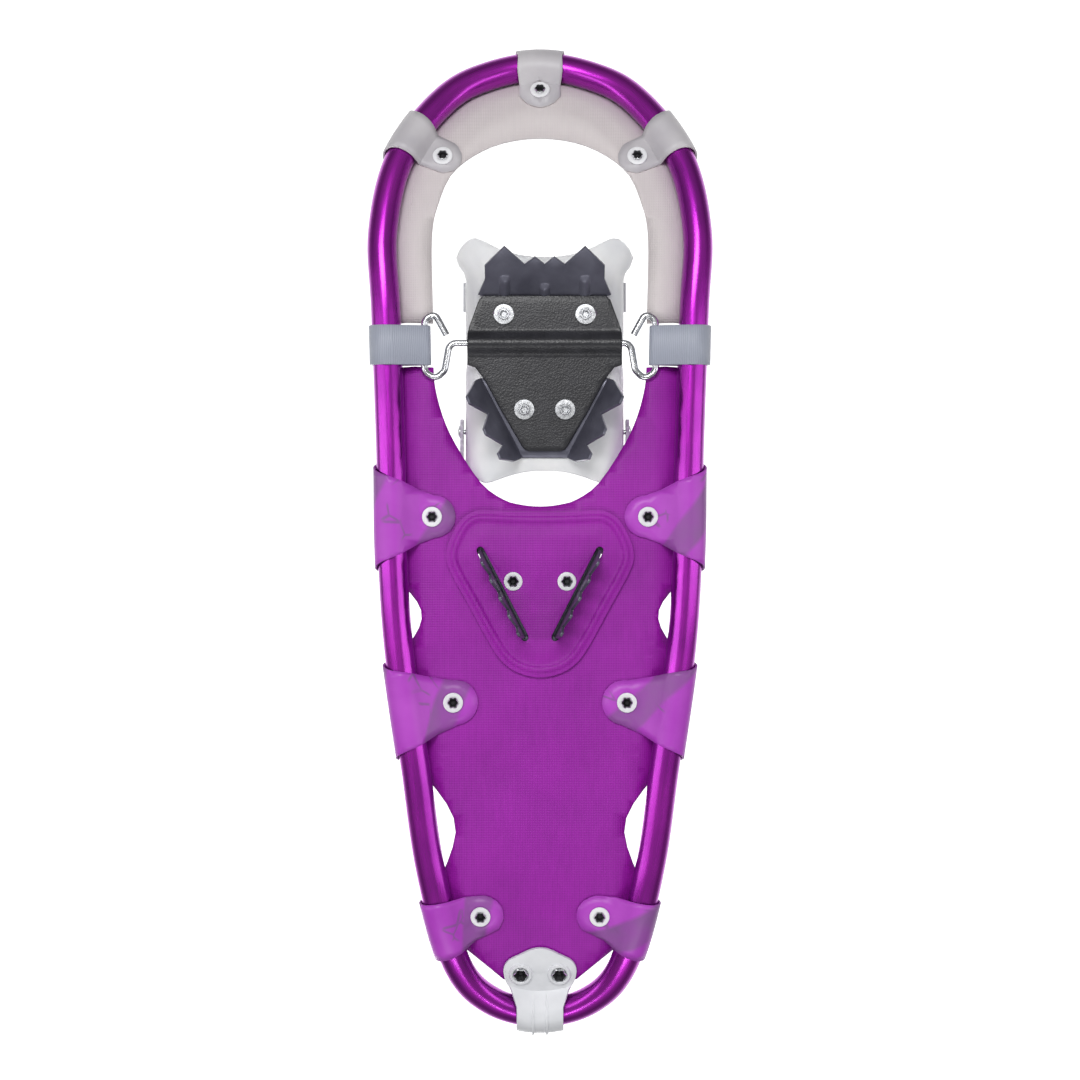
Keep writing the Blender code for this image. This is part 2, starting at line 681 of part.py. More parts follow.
# ---- heel pad and heel spikes ----
PAD_THICK = 2.4
PAD_LEVEL = DECK_LEVEL - DECK_THICK / 2 - GAP - PAD_THICK / 2
PAD_HALF = [(0, 17.8), (20, 18.2), (35, 19.0), (43, 18.0), (50.5, 13.0), (56.5, 3), (60.0, -8), (58.0, -19),
            (45, -43), (29.5, -71), (20, -81.6), (10, -86.4), (0, -88)]
HEEL_LEVEL = DECK_LEVEL + DECK_THICK / 2 + GAP + STEEL / 2
HEEL_BLADE_TURN = math.radians(86)


def heel_pad():
    outline = mirrored(smooth_through(PAD_HALF, 2))
    holes = heel_slots() + [circle(s * HEEL_RIVET[0], HEEL_RIVET[1], HOLE_RADIUS, 8) for s in (1, -1)]
    # two rows of points along the border: the outer one stands proud as a pressed ridge
    rows = {}
    for x, v in smooth_through(PAD_HALF, 2):
        for side in (1, -1):
            for scale, drop in ((0.93, 0.9), (0.84, 0.0)):
                rows[(round(side * x * scale, 2), round((v + 26) * scale - 26, 2))] = drop

    def lay(x, v):
        return roll_up(x, v, PAD_LEVEL - rows.get((round(x, 2), round(v, 2)), 0.0))

    made = finish_object("heel_pad", cut_sheet(outline, holes, list(rows), lay), DECK_PURPLE)
    add_thickness(made, PAD_THICK)
    return made


def fold_down(along, depth, start, end, level, turn, side=1):
    # a point of a blade that folds down along the line start-end, depth measured from the fold
    a = Vector(start)
    line = Vector(end) - a
    length = line.length
    line.normalize()
    outward = Vector((-line.y, line.x))
    if outward.x < 0:
        outward = -outward
    point = a + line * (along * length) + outward * (depth * math.cos(turn))
    return roll_up(side * point.x, point.y, level - depth * math.sin(turn))


def blade_strip(builder, teeth, start, end, level, turn, side):
    # toothed blade as a row of quads from the fold line down to the teeth
    top = [builder.verts.new(fold_down(along, 0, start, end, level, turn, side)) for along, _ in teeth]
    low = [builder.verts.new(fold_down(along, depth, start, end, level, turn, side)) for along, depth in teeth]
    for k in range(len(teeth) - 1):
        builder.faces.new([top[k], top[k + 1], low[k + 1], low[k]])
    return top


def heel_teeth():
    # full depth teeth along each heel blade as (share of length, depth)
    deepest = HEEL_LEVEL + GROUND_TO_TUBE - 0.1
    teeth = [(0.0, 9.0)]
    count = 5
    for k in range(count):
        start = k / count
        teeth += [(start + 0.07, 18.0 if k else 16.0), (start + 0.11, deepest), (start + 0.15, deepest)]
    teeth.append((1.0, 12.0))
    return teeth


def heel_crampon():
    builder = bmesh.new()
    teeth = heel_teeth()
    right = blade_strip(builder, teeth, SLOT_FRONT, SLOT_BACK, HEEL_LEVEL, HEEL_BLADE_TURN, 1)
    left = blade_strip(builder, teeth, SLOT_FRONT, SLOT_BACK, HEEL_LEVEL, HEEL_BLADE_TURN, -1)
    holes = []
    for side in (1, -1):
        x, v = side * HEEL_RIVET[0], HEEL_RIVET[1]
        holes.append([builder.verts.new(roll_up(px, pv, HEEL_LEVEL))
                      for px, pv in circle(x, v, HOLE_RADIUS, 8)])
    edges = []
    for loop in (right + list(reversed(left)), holes[0], holes[1]):
        for a, b in zip(loop, loop[1:] + loop[:1]):
            found = builder.edges.get((a, b))
            edges.append(found if found else builder.edges.new((a, b)))
    bmesh.ops.triangle_fill(builder, edges=edges, use_beauty=True, normal=(0, 0, 1))
    made = finish_object("heel_crampon", builder, SPIKE_STEEL)
    add_thickness(made, STEEL, 0.0)
    return made


def heel_fasteners(side, label):
    matrix = roll_matrix(side * HEEL_RIVET[0], HEEL_RIVET[1], 0.0)
    low = PAD_LEVEL - PAD_THICK / 2 - GAP
    rivet("heel_rivet_" + label, HEEL_LEVEL + STEEL / 2 + GAP, low - WASHER_THICK - GAP, matrix)
    washer("heel_washer_" + label, 6.0, HOLE_RADIUS, WASHER_THICK,
           matrix @ Matrix.Translation((0, 0, low)), WASHER_WHITE)


def tail_rivet(side, label):
    matrix = roll_matrix(side * TAIL_RIVET[0], TAIL_RIVET[1], 0.0)
    reach = CLIP_REACH + CLIP_THICK / 2 + GAP + 0.1
    rivet("tail_rivet_" + label, DECK_LEVEL + reach, DECK_LEVEL - reach, matrix, 5.0, 4.6, 1.6)


# ---- cross straps and the rod between them ----
LEG_X = 74.0


def cross_strap(side, label):
    # flat webbing run as a belt round the tube and the upright leg of the rod's ring
    foot, _ = line_at(length_at(124.5))
    big = TUBE_RADIUS + 0.4
    small = ROD_RADIUS + 0.4
    span = foot[0] - LEG_X
    lean = math.asin((big - small) / span)
    low = 124.5 - STRAP_WIDE / 2
    high = 124.5 + STRAP_WIDE / 2
    builder = bmesh.new()
    loops = []
    for extra in (0.0, STRAP_THICK):
        ring = []
        for k in range(13):
            angle = -math.pi / 2 - lean + (math.pi + 2 * lean) * k / 12
            ring.append((foot[0] + (big + extra) * math.cos(angle), (big + extra) * math.sin(angle)))
        for k in range(7):
            angle = math.pi / 2 + lean + (math.pi - 2 * lean) * k / 6
            ring.append((LEG_X + (small + extra) * math.cos(angle), (small + extra) * math.sin(angle)))
        loops.append(ring)
    rings = []
    for ring in loops:
        for v in (low, high):
            slant = (v - 124.5) * 0.024
            rings.append([builder.verts.new(roll_up(side * (x + slant), v, n)) for x, n in ring])
    inner_low, inner_high, outer_low, outer_high = rings
    for a, b in ((inner_low, inner_high), (inner_high, outer_high), (outer_high, outer_low), (outer_low, inner_low)):
        for k in range(len(a)):
            j = (k + 1) % len(a)
            builder.faces.new([a[k], a[j], b[j], b[k]])
    return finish_object("cross_strap_" + label, builder, WEBBING)


def pivot_axle():
    # one rod: straight across under the boot, each end bent into a triangular ring
    half = [(59.8, 131.0), (67.4, 145.0), (LEG_X, 141.0), (LEG_X, 107.5), (66.8, 103.0), (61.0, 108.5),
            (58.0, AXLE_V), (0, AXLE_V)]
    corners = [(x, v, 0) for x, v in half[:-1]] + [(-x, v, 0) for x, v in reversed(half[:-1])]
    path = [roll_up(*point) for point in rounded_path(corners, 4.2, 3)]
    return finish_object("pivot_axle", swept_rod(path, ROD_RADIUS, 8), ZINC)


# ---- hinged binding ----
FRONT_RIVET = (26.15, 144.5)
REAR_RIVET = (13.1, 83.5)


def binding_point(x, v, n):
    return roll_up(x + BINDING_X, v, n)


def plate_height(v):
    # the hinge plate dips under the rod in a soft roll
    away = abs(v - AXLE_V) / 9.0
    if away >= 1:
        return PLATE_LEVEL
    return PLATE_LEVEL - 4.3 * math.cos(away * math.pi / 2) ** 2


def hinge_plate():
    half = [(0, 156.6), (39.0, 156.6), (42.0, 154.0), (48.6, 136.0)]
    half += [(HINGE_WIDE, AXLE_V + dv) for dv in (6, 3, 0, -3, -6, -9, -14)]
    half += [(45.2, 110.4), (38.6, 102.6), (30.0, 87.0), (15.2, 61.2), (13.0, 58.2), (10.0, 56.8), (0, 56.8)]
    holes = [circle(s * x, v, HOLE_RADIUS, 8) for x, v in (FRONT_RIVET, REAR_RIVET) for s in (1, -1)]
    inner = [(x, AXLE_V + dv) for dv in (-9, -6, -3, 0, 3, 6, 9) for x in range(-44, 45, 11)]
    builder = cut_sheet(mirrored(half), holes, inner, lambda x, v: binding_point(x, v, plate_height(v)))
    made = finish_object("hinge_plate", builder, BLACK_PLATE)
    add_thickness(made, PLATE_THICK)
    return made


TOE_FOLD_V = 157.0
TOE_SLOPE = math.radians(50)


def toe_crampon():
    # flat under the boot, then folded forward and down; teeth along the free edge
    deepest = (SPIKE_LEVEL + GROUND_TO_TUBE) / math.sin(TOE_SLOPE) - 1.3
    half = [(0, TOE_FOLD_V + deepest - 13.6), (6.2, TOE_FOLD_V + deepest - 7.8),
            (12.8, TOE_FOLD_V + deepest - 13.6), (25.6, TOE_FOLD_V + deepest),
            (38.2, TOE_FOLD_V + deepest - 14.4), (38.1, TOE_FOLD_V + deepest - 25.0),
            (42.6, TOE_FOLD_V + 1.0), (40.0, TOE_FOLD_V), (40.0, 135.5), (0, 135.5)]
    holes = [circle(s * FRONT_RIVET[0], FRONT_RIVET[1], HOLE_RADIUS, 8) for s in (1, -1)]
    inner = [(x, TOE_FOLD_V + dv) for dv in (0, 2.5) for x in range(-36, 37, 9)]

    def lay(x, v):
        past = max(0.0, v - TOE_FOLD_V)
        return binding_point(x, v - past + past * math.cos(TOE_SLOPE), SPIKE_LEVEL - past * math.sin(TOE_SLOPE))

    made = finish_object("toe_crampon", cut_sheet(mirrored(half), holes, inner, lay), SPIKE_STEEL)
    add_thickness(made, STEEL)
    return made


REAR_FOLD_FRONT = (41.5, 103.5)
REAR_FOLD_BACK = (14.5, 52.5)
REAR_TURN = math.radians(66)


def rear_crampon():
    deepest = (SPIKE_LEVEL + GROUND_TO_TUBE - 0.35) / math.sin(REAR_TURN)
    teeth = [(0.0, 8.0), (0.13, deepest - 1), (0.22, deepest), (0.40, 15.0), (0.53, deepest - 1),
             (0.60, deepest), (0.78, 17.0), (0.84, deepest - 3), (0.91, deepest - 2), (1.0, 14.0)]
    builder = bmesh.new()
    sides = []
    for side in (1, -1):
        front = (REAR_FOLD_FRONT[0] + side * BINDING_X, REAR_FOLD_FRONT[1])
        back = (REAR_FOLD_BACK[0] + side * BINDING_X, REAR_FOLD_BACK[1])
        sides.append(blade_strip(builder, teeth, front, back, SPIKE_LEVEL, REAR_TURN, side))
    loops = [sides[0] + list(reversed(sides[1]))]
    for side in (1, -1):
        loops.append([builder.verts.new(binding_point(px, pv, SPIKE_LEVEL))
                      for px, pv in circle(side * REAR_RIVET[0], REAR_RIVET[1], HOLE_RADIUS, 8)])
    edges = []
    for loop in loops:
        for a, b in zip(loop, loop[1:] + loop[:1]):
            found = builder.edges.get((a, b))
            edges.append(found if found else builder.edges.new((a, b)))
    bmesh.ops.triangle_fill(builder, edges=edges, use_beauty=True, normal=(0, 0, 1))
    made = finish_object("rear_crampon", builder, SPIKE_STEEL)
    add_thickness(made, STEEL)
    return made


def crampon_rivet(name, x, v):
    matrix = roll_matrix(x + BINDING_X, v, 0.0)
    top = CRADLE_LEVEL + CRADLE_THICK / 2 + GAP
    bottom = PLATE_LEVEL - PLATE_THICK / 2 - GAP
    profile = [(0, top + 1.3), (4.4, top + 1.0), (4.6, top), (RIVET_SHANK, top), (RIVET_SHANK, bottom), (6.6, bottom),
               (6.6, bottom - 0.9), (3.7, bottom - 1.0), (3.3, bottom - 1.9), (2.0, bottom - 1.9),
               (1.6, bottom + 0.8), (0, bottom + 0.8)]
    return finish_object(name, turned(profile, 10, matrix), RIVET_STEEL)


def boot_section(across, v, offset=0.0):
    # point on the boot shape's cross-section at this v; across runs from the sole's middle line
    # round the corner and up the side, offset is outward
    side = 1.0 if across >= 0 else -1.0
    q = abs(across)
    share = min(1.0, max(0.0, (TOE_STRAP_V - v) / (TOE_STRAP_V - INSTEP_STRAP_V)))
    height = TOE_HEIGHT + (INSTEP_HEIGHT - TOE_HEIGHT) * share
    corner = SOLE_CORNER * math.pi / 2
    wide = SOLE_HALF + SOLE_CORNER
    base = CRADLE_LEVEL + SOLE_CORNER
    if q <= SOLE_HALF:
        return (side * q, v, CRADLE_LEVEL - offset)
    if q <= SOLE_HALF + corner:
        angle = (q - SOLE_HALF) / SOLE_CORNER
        reach = SOLE_CORNER + offset
        return (side * (SOLE_HALF + reach * math.sin(angle)), v, base - reach * math.cos(angle))
    angle = boot_angle(q - SOLE_HALF - corner, wide, height)
    return arch_point(angle, v, offset, wide, height, base, side)


def boot_angle(run, wide, height):
    # angle reached after this length up the side of the arch
    angle = 0.0
    step = 0.004
    while run > 0:
        run -= step * math.hypot(wide * math.sin(angle), height * math.cos(angle))
        angle += step
    return angle


def arch_point(angle, v, offset, wide, height, base, side=1.0):
    normal = Vector((math.cos(angle) / wide, math.sin(angle) / height)).normalized()
    return (side * (wide * math.cos(angle) + normal.x * offset), v,
            base + height * math.sin(angle) + normal.y * offset)


CRADLE_HALF = [(0, 182.5), (14, 184), (26, 188.5), (36, 194.5), (42, 195.5), (50, 190), (62, 181), (80, 172),
               (94, 167.5), (98, 164), (98, 152), (94, 147.5), (72, 140), (58, 131), (54, 122), (55, 112),
               (62, 104), (80, 101.5), (98, 98), (110, 96), (114, 92), (114, 78), (110, 73.5), (82, 62),
               (66, 54), (50, 45), (42, 38), (36, 36.5), (26, 40), (13, 43.5), (0, 44.3)]


def boot_run(angle, wide, height):
    # length up the side of the arch to this angle
    steps = 40
    return sum(angle / steps * math.hypot(wide * math.sin(angle * (k + 0.5) / steps),
                                          height * math.cos(angle * (k + 0.5) / steps)) for k in range(steps))


STRAP_ANCHORS = {"toe": (TOE_STRAP_V, TOE_HEIGHT, math.radians(27)),
                 "instep": (INSTEP_STRAP_V, INSTEP_HEIGHT, math.radians(32))}


def anchor_across(label):
    v, height, angle = STRAP_ANCHORS[label]
    return SOLE_HALF + SOLE_CORNER * math.pi / 2 + boot_run(angle, SOLE_HALF + SOLE_CORNER, height)


HEEL_PIVOT_ACROSS = SOLE_HALF + SOLE_CORNER * math.pi / 2 + HEEL_PIVOT_N - CRADLE_LEVEL - SOLE_CORNER


def binding_cradle():
    outline = mirrored(CRADLE_HALF)
    holes = [circle(s * x, v, HOLE_RADIUS, 8) for x, v in (FRONT_RIVET, REAR_RIVET) for s in (1, -1)]
    holes += [circle(s * HEEL_PIVOT_ACROSS, HEEL_PIVOT_V, 2.1, 8) for s in (1, -1)]
    holes += [circle(-anchor_across(label), STRAP_ANCHORS[label][0], 2.5, 8) for label in STRAP_ANCHORS]
    inner = []
    for side in (1, -1):
        for across in (36, 44, 52.5, 61, 72, 84, 100):
            inner += [(side * across, v) for v in range(40, 196, 12)]
    builder = cut_sheet(outline, holes, inner, lambda x, v: binding_point(*boot_section(x, v)))
    made = finish_object("binding_cradle", builder, MILKY)
    add_thickness(made, CRADLE_THICK)
    return made


PAD_FLAT = [(-22, 80), (22, 80), (22, 142), (-22, 142)]      # wholly flat middle of the foot pad's top
FOOT_PAD_THICK = 4.0


def foot_pad():
    low = CRADLE_LEVEL + CRADLE_THICK / 2 + 1.3 + 2 * GAP
    half = [(0, 176), (20, 175), (28, 170), (31, 160), (31, 140), (28, 118), (27, 100), (25, 70), (19, 60), (0, 57)]
    outline = mirrored(smooth_through(half, 2))
    coords = [Vector(point) for point in outline + PAD_FLAT]
    count = len(outline)
    edges = [(k, (k + 1) % count) for k in range(count)] + [(count + k, count + (k + 1) % 4) for k in range(4)]
    found = delaunay_2d_cdt(coords, edges, [], 0, 1e-5)
    builder = bmesh.new()
    made = [builder.verts.new(binding_point(p.x, p.y, low)) for p in found[0]]
    for face in found[2]:
        middle = sum((found[0][i] for i in face), Vector((0, 0))) / len(face)
        if inside(tuple(middle), outline):
            builder.faces.new([made[i] for i in face])
    raised = bmesh.ops.extrude_face_region(builder, geom=list(builder.faces))["geom"]
    top = [item for item in raised if isinstance(item, bmesh.types.BMVert)]
    bmesh.ops.translate(builder, vec=(0, 0, FOOT_PAD_THICK), verts=top)
    return finish_object("foot_pad", builder, FOAM)


def strap_anchor_rivet(label):
    v, height, angle = STRAP_ANCHORS[label]
    place = arch_matrix(v, math.pi - angle, 0.0, height)
    top = STRAP_OFFSET + 1.5 + GAP + 0.1
    low = -CRADLE_THICK / 2 - GAP - 0.2
    profile = [(0, top + 1.8), (3.2, top + 1.5), (4.4, top + 0.6), (4.4, top), (1.7, top), (1.7, low),
               (3.8, low), (3.8, low - 1.0), (0, low - 1.0)]
    return finish_object(label + "_strap_rivet", turned(profile, 10, place), RIVET_STEEL)


def arch_strap(name, v, height, low_angle, width=22.0):
    # strap over the boot, outside both wings of the cradle
    wide = SOLE_HALF + SOLE_CORNER
    base = CRADLE_LEVEL + SOLE_CORNER
    builder = bmesh.new()
    rows = []
    steps = 26
    for k in range(steps + 1):
        angle = low_angle + (math.pi - 2 * low_angle) * k / steps
        row = []
        for across in (-width / 2, width / 2):
            x, y, n = arch_point(angle, v + across, STRAP_OFFSET + 0.5, wide, height, base)
            row.append(builder.verts.new(binding_point(x, y, n)))
        rows.append(row)
    for a, b in zip(rows, rows[1:]):
        builder.faces.new([a[0], a[1], b[1], b[0]])
    made = finish_object(name, builder, STRAP_GREY)
    add_thickness(made, 2.0)
    _, _, angle = STRAP_ANCHORS[name.split("_")[0]]
    bore = turned([(0, -9), (2.1, -9), (2.1, 9), (0, 9)], 10, arch_matrix(v, math.pi - angle, 2.0, height))
    add_cut(made, bore, name + "_bore")
    return made


def arch_matrix(v, angle, offset, height):
    # local frame on the boot arch: x along the strap upward, y along the shoe, z outward
    wide = SOLE_HALF + SOLE_CORNER
    base = CRADLE_LEVEL + SOLE_CORNER
    here = Vector(binding_point(*arch_point(angle, v, offset, wide, height, base)))
    outward = Vector((math.cos(angle) / wide, 0, math.sin(angle) / height)).normalized()
    forward = Vector((0, 1, 0))
    up = forward.cross(outward)
    frame = Matrix((up, forward, outward)).transposed().to_4x4()
    frame.translation = here
    return frame


BUCKLE_HALF = 14.6          # half width of the buckle across the strap
LEVER_PIN = (7.5, 6.6)      # pin place along the strap and above its outer face


def buckle_body(name, matrix):
    # open frame that bridges the strap: two cheeks joined by a bar in front and one behind
    builder = boxed((-12, -BUCKLE_HALF, -2.0), (12, BUCKLE_HALF, 8.8))
    bmesh.ops.transform(builder, matrix=matrix, verts=builder.verts)
    made = finish_object(name, builder, BUCKLE_DARK)
    cuts = [((-20, -11.6, -9), (20, 11.6, 0.4)), ((-8.6, -12.2, -1), (20, 12.2, 20)),
            ((-20, -20, 5.4), (-3.5, 20, 20))]
    for k, (low, high) in enumerate(cuts):
        cutter = boxed(low, high)
        bmesh.ops.transform(cutter, matrix=matrix, verts=cutter.verts)
        add_cut(made, cutter, "%s_cut_%d" % (name, k))
    bore = turned([(0, -20), (1.9, -20), (1.9, 20), (0, 20)], 12,
                  matrix @ Matrix.Translation((LEVER_PIN[0], 0, LEVER_PIN[1])) @ Matrix.Rotation(math.pi / 2, 4, "X"))
    add_cut(made, bore, name + "_bore")
    return made


def add_cut(made, builder, name):
    cutter = finish_object(name, builder, BUCKLE_DARK)
    cutter.hide_render = True
    cutter.display_type = "WIRE"
    cut = made.modifiers.new("cut", "BOOLEAN")
    cut.operation = "DIFFERENCE"
    cut.solver = "EXACT"
    cut.object = cutter


def buckle_lever(name, matrix):
    # thumb lever with an eye round its pin
    builder = bmesh.new()
    outline = []
    for k in range(9):
        angle = math.radians(-60 + 210 * k / 8)
        outline.append((LEVER_PIN[0] + 3.6 * math.cos(angle), LEVER_PIN[1] + 3.6 * math.sin(angle)))
    outline += [(-8.0, 9.2), (-17.5, 8.0), (-18.2, 6.6), (-17.0, 5.9), (-8.0, 6.4), (2.0, 4.6)]
    front = [builder.verts.new((x, -11.6, z)) for x, z in outline]
    face = builder.faces.new(front)
    moved = bmesh.ops.extrude_face_region(builder, geom=[face])["geom"]
    far = [item for item in moved if isinstance(item, bmesh.types.BMVert)]
    bmesh.ops.translate(builder, vec=(0, 23.2, 0), verts=far)
    bmesh.ops.transform(builder, matrix=matrix, verts=builder.verts)
    made = finish_object(name, builder, BUCKLE_DARK)
    bore = turned([(0, -20), (1.9, -20), (1.9, 20), (0, 20)], 12,
                  matrix @ Matrix.Translation((LEVER_PIN[0], 0, LEVER_PIN[1])) @ Matrix.Rotation(math.pi / 2, 4, "X"))
    add_cut(made, bore, name + "_bore")
    return made


def buckle_pin(name, matrix):
    place = matrix @ Matrix.Translation((LEVER_PIN[0], 0, LEVER_PIN[1])) @ Matrix.Rotation(math.pi / 2, 4, "X")
    return finish_object(name, turned([(0, -14.4), (1.5, -14.4), (1.5, 14.4), (0, 14.4)], 12, place), RIVET_STEEL)


def buckle(label, matrix):
    buckle_body(label + "_buckle", matrix)
    buckle_lever(label + "_buckle_lever", matrix)
    buckle_pin(label + "_buckle_pin", matrix)


# ---- heel strap ----
HEEL_STRAP_WIDE = 20.0
HEEL_STRAP_KNOTS = [(HEEL_STRAP_X, HEEL_PIVOT_V + 8, HEEL_PIVOT_N + 0.5), (HEEL_STRAP_X, HEEL_PIVOT_V, HEEL_PIVOT_N),
                    (53.4, 40, 26.5), (51.5, 8, 21), (46.5, -26, 17), (34.5, -54, 15.4), (17, -66.5, 15.2), (0, -70, 15.2)]


def heel_strap_line(steps):
    return smooth_through3(HEEL_STRAP_KNOTS, steps)


def smooth_through3(knots, per_span):
    points = [np.array(knot, float) for knot in knots]
    run = [2 * points[0] - points[1]] + points + [points[-2] * np.array([-1.0, 1.0, 1.0])]
    out = []
    for i in range(1, len(run) - 2):
        p0, p1, p2, p3 = run[i - 1:i + 3]
        for k in range(per_span):
            t = k / per_span
            out.append(0.5 * (2 * p1 + (p2 - p0) * t + (2 * p0 - 5 * p1 + 4 * p2 - p3) * t * t
                              + (3 * p1 - p0 - 3 * p2 + p3) * t ** 3))
    out.append(points[-1])
    return [tuple(point) for point in out]


def heel_strap():
    half = heel_strap_line(2)
    line = half + [(-x, v, n) for x, v, n in reversed(half[:-1])]
    builder = bmesh.new()
    rows = []
    for x, v, n in line:
        row = [builder.verts.new(binding_point(x, v, n + rise)) for rise in (-HEEL_STRAP_WIDE / 2, HEEL_STRAP_WIDE / 2)]
        rows.append(row)
    for a, b in zip(rows, rows[1:]):
        builder.faces.new([a[0], a[1], b[1], b[0]])
    made = finish_object("heel_strap", builder, STRAP_GREY)
    add_thickness(made, 2.0)
    for side in (1, -1):
        bore = turned([(0, -9), (2.0, -9), (2.0, 9), (0, 9)], 10, pivot_matrix(side))
        add_cut(made, bore, "heel_strap_bore_%d" % side)
    return made


def pivot_matrix(side):
    # local z points outward, away from the boot
    place = Matrix.Translation(Vector(binding_point(side * HEEL_STRAP_X, HEEL_PIVOT_V, HEEL_PIVOT_N)))
    return place @ Matrix.Rotation(side * math.pi / 2, 4, "Y")


def heel_strap_rivet(side, label):
    # holds the strap end to the cradle's rear wing
    inner = -2.0 - GAP - CRADLE_THICK - 2.1
    profile = [(0, 2.6), (3.4, 2.4), (4.4, 1.6), (4.4, 1.0 + GAP), (1.7, 1.0 + GAP), (1.7, inner),
               (3.6, inner), (3.6, inner - 1.0), (0, inner - 1.0)]
    return finish_object("heel_strap_rivet_" + label, turned(profile, 12, pivot_matrix(side)), RIVET_STEEL)


def build_all():
    frame_tube()
    tube_joint_sleeve()
    main_deck()
    toe_deck()
    tail_clip()
    heel_pad()
    heel_crampon()
    for side, label in ((1, "left"), (-1, "right")):
        for name, tab in DECK_TABS.items():
            tab_fasteners(("deck_rivet_%s_%s" % (name, label), "deck_washer_%s_%s" % (name, label)), tab, side)
        tab_fasteners(("toe_deck_rivet_" + label, "toe_deck_washer_" + label), TOE_TABS["side"], side)
        heel_fasteners(side, label)
        tail_rivet(side, label)
        cross_strap(side, label)
        heel_strap_rivet(side, label)
        crampon_rivet("toe_crampon_rivet_" + label, side * FRONT_RIVET[0], FRONT_RIVET[1])
        crampon_rivet("rear_crampon_rivet_" + label, side * REAR_RIVET[0], REAR_RIVET[1])
    tab_fasteners(("nose_rivet", "nose_washer"), TOE_TABS["nose"], 1)
    pivot_axle()
    hinge_plate()
    toe_crampon()
    rear_crampon()
    binding_cradle()
    foot_pad()
    arch_strap("toe_strap", TOE_STRAP_V, TOE_HEIGHT, math.radians(14))
    arch_strap("instep_strap", INSTEP_STRAP_V, INSTEP_HEIGHT, math.radians(22))
    outer = STRAP_OFFSET + 1.5
    buckle("toe", arch_matrix(TOE_STRAP_V, math.radians(62), outer, TOE_HEIGHT))
    buckle("instep", arch_matrix(INSTEP_STRAP_V, math.radians(60), outer, INSTEP_HEIGHT))
    strap_anchor_rivet("toe")
    strap_anchor_rivet("instep")
    heel_strap()


build_all()
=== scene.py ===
# Looks for the snowshoe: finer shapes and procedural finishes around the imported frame.
# Shaping is done in millimetres in a flat layout: x across, v along (nose at +v), n up from the
# tube's middle plane. rollUp then curls nose and tail.
import math

import bmesh
import bpy
import numpy as np
from mathutils import Matrix, Vector
from mathutils.geometry import delaunay_2d_cdt
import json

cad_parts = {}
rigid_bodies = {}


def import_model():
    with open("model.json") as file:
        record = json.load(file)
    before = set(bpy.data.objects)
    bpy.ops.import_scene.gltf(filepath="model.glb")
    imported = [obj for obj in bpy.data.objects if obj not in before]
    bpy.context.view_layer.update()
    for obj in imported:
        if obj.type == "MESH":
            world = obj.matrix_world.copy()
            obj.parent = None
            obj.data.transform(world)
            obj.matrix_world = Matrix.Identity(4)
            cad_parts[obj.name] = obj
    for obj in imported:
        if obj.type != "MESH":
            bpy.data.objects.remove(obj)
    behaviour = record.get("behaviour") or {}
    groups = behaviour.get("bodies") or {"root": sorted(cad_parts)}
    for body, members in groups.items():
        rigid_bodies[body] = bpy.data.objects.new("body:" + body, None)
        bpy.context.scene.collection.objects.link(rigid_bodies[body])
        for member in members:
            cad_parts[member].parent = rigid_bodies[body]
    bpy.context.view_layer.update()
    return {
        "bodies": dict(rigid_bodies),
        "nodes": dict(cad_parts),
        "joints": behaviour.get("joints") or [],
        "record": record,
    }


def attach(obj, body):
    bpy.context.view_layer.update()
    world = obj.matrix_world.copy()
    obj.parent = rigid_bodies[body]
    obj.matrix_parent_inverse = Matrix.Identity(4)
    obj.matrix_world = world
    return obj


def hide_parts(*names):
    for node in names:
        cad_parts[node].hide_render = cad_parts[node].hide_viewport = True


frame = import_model()
bodyOfNode = {node: body for body, nodes in frame["record"]["behaviour"]["bodies"].items() for node in nodes}
print("frame loaded")

# sizes in millimetres
groundToTube = 28.0        # spike tips up to the middle plane of the tube
lengthShift = -1.5         # moves the middle of the whole length onto the origin
tubeRadius = 9.5
noseStart = 144.0          # where the nose begins to curl up
noseCurl = 276.0           # radius of that curl
tailStart = -215.0
tailCurl = 162.0
gap = 0.3                  # air kept between touching pieces
deckThick = 1.2
mainFlat = 17.3            # the main deck lies flat from here inboard of the tube's middle line
toeFlat = 13.0
wrapGap = 0.9              # air between the tube and the sheets wrapped round it
steel = 1.8
strapWide = 25.4
strapThick = 1.6
rodRadius = 2.25
holeRadius = 2.75          # rivet holes in the sheets
rivetShank = 2.2
axleV = 126.0              # the binding's turning axis
bindingX = -3.0            # the binding sits a little off the middle on its rod
hingeWide = 49.5           # half width of the hinge plate
cradleThick = 2.2
soleHalf = 34.0            # half of the flat part under the boot
soleCorner = 16.0
toeHeight = 50.0           # height of the boot shape above the sole corner, at the toe
instepHeight = 72.0
toeStrapV = 160.0
instepStrapV = 84.0
heelPivotV = 70.0
heelPivotN = 30.0
heelStrapX = 53.6          # middle of the heel strap's ends, just outside the cradle wings

# heights above the tube's middle plane, worked out from the sheet thicknesses
deckLevel = rodRadius + deckThick / 2 + 0.55      # decks pass above the rod's rings
tabLevel = deckLevel - deckThick - gap
wrapRadius = tubeRadius + wrapGap + deckThick / 2
plateThick = 2.0
plateLevel = 0.6
spikeLevel = plateLevel + plateThick / 2 + gap + steel / 2 + 0.1
cradleLevel = spikeLevel + steel / 2 + gap + cradleThick / 2 + 0.1
strapOffset = cradleThick / 2 + gap + 1.7

# middle line of the right half of the tube, nose to tail
frameKnots = [(0, 323.7), (33, 315.5), (61, 296), (90, 250.6), (100.9, 198.6), (98.7, 146.6), (95.5, 57),
              (94.5, -7), (90.3, -70.6), (79.6, -146.3), (70.3, -210.2), (53.5, -274), (31, -302.5),
              (0, -312.3)]

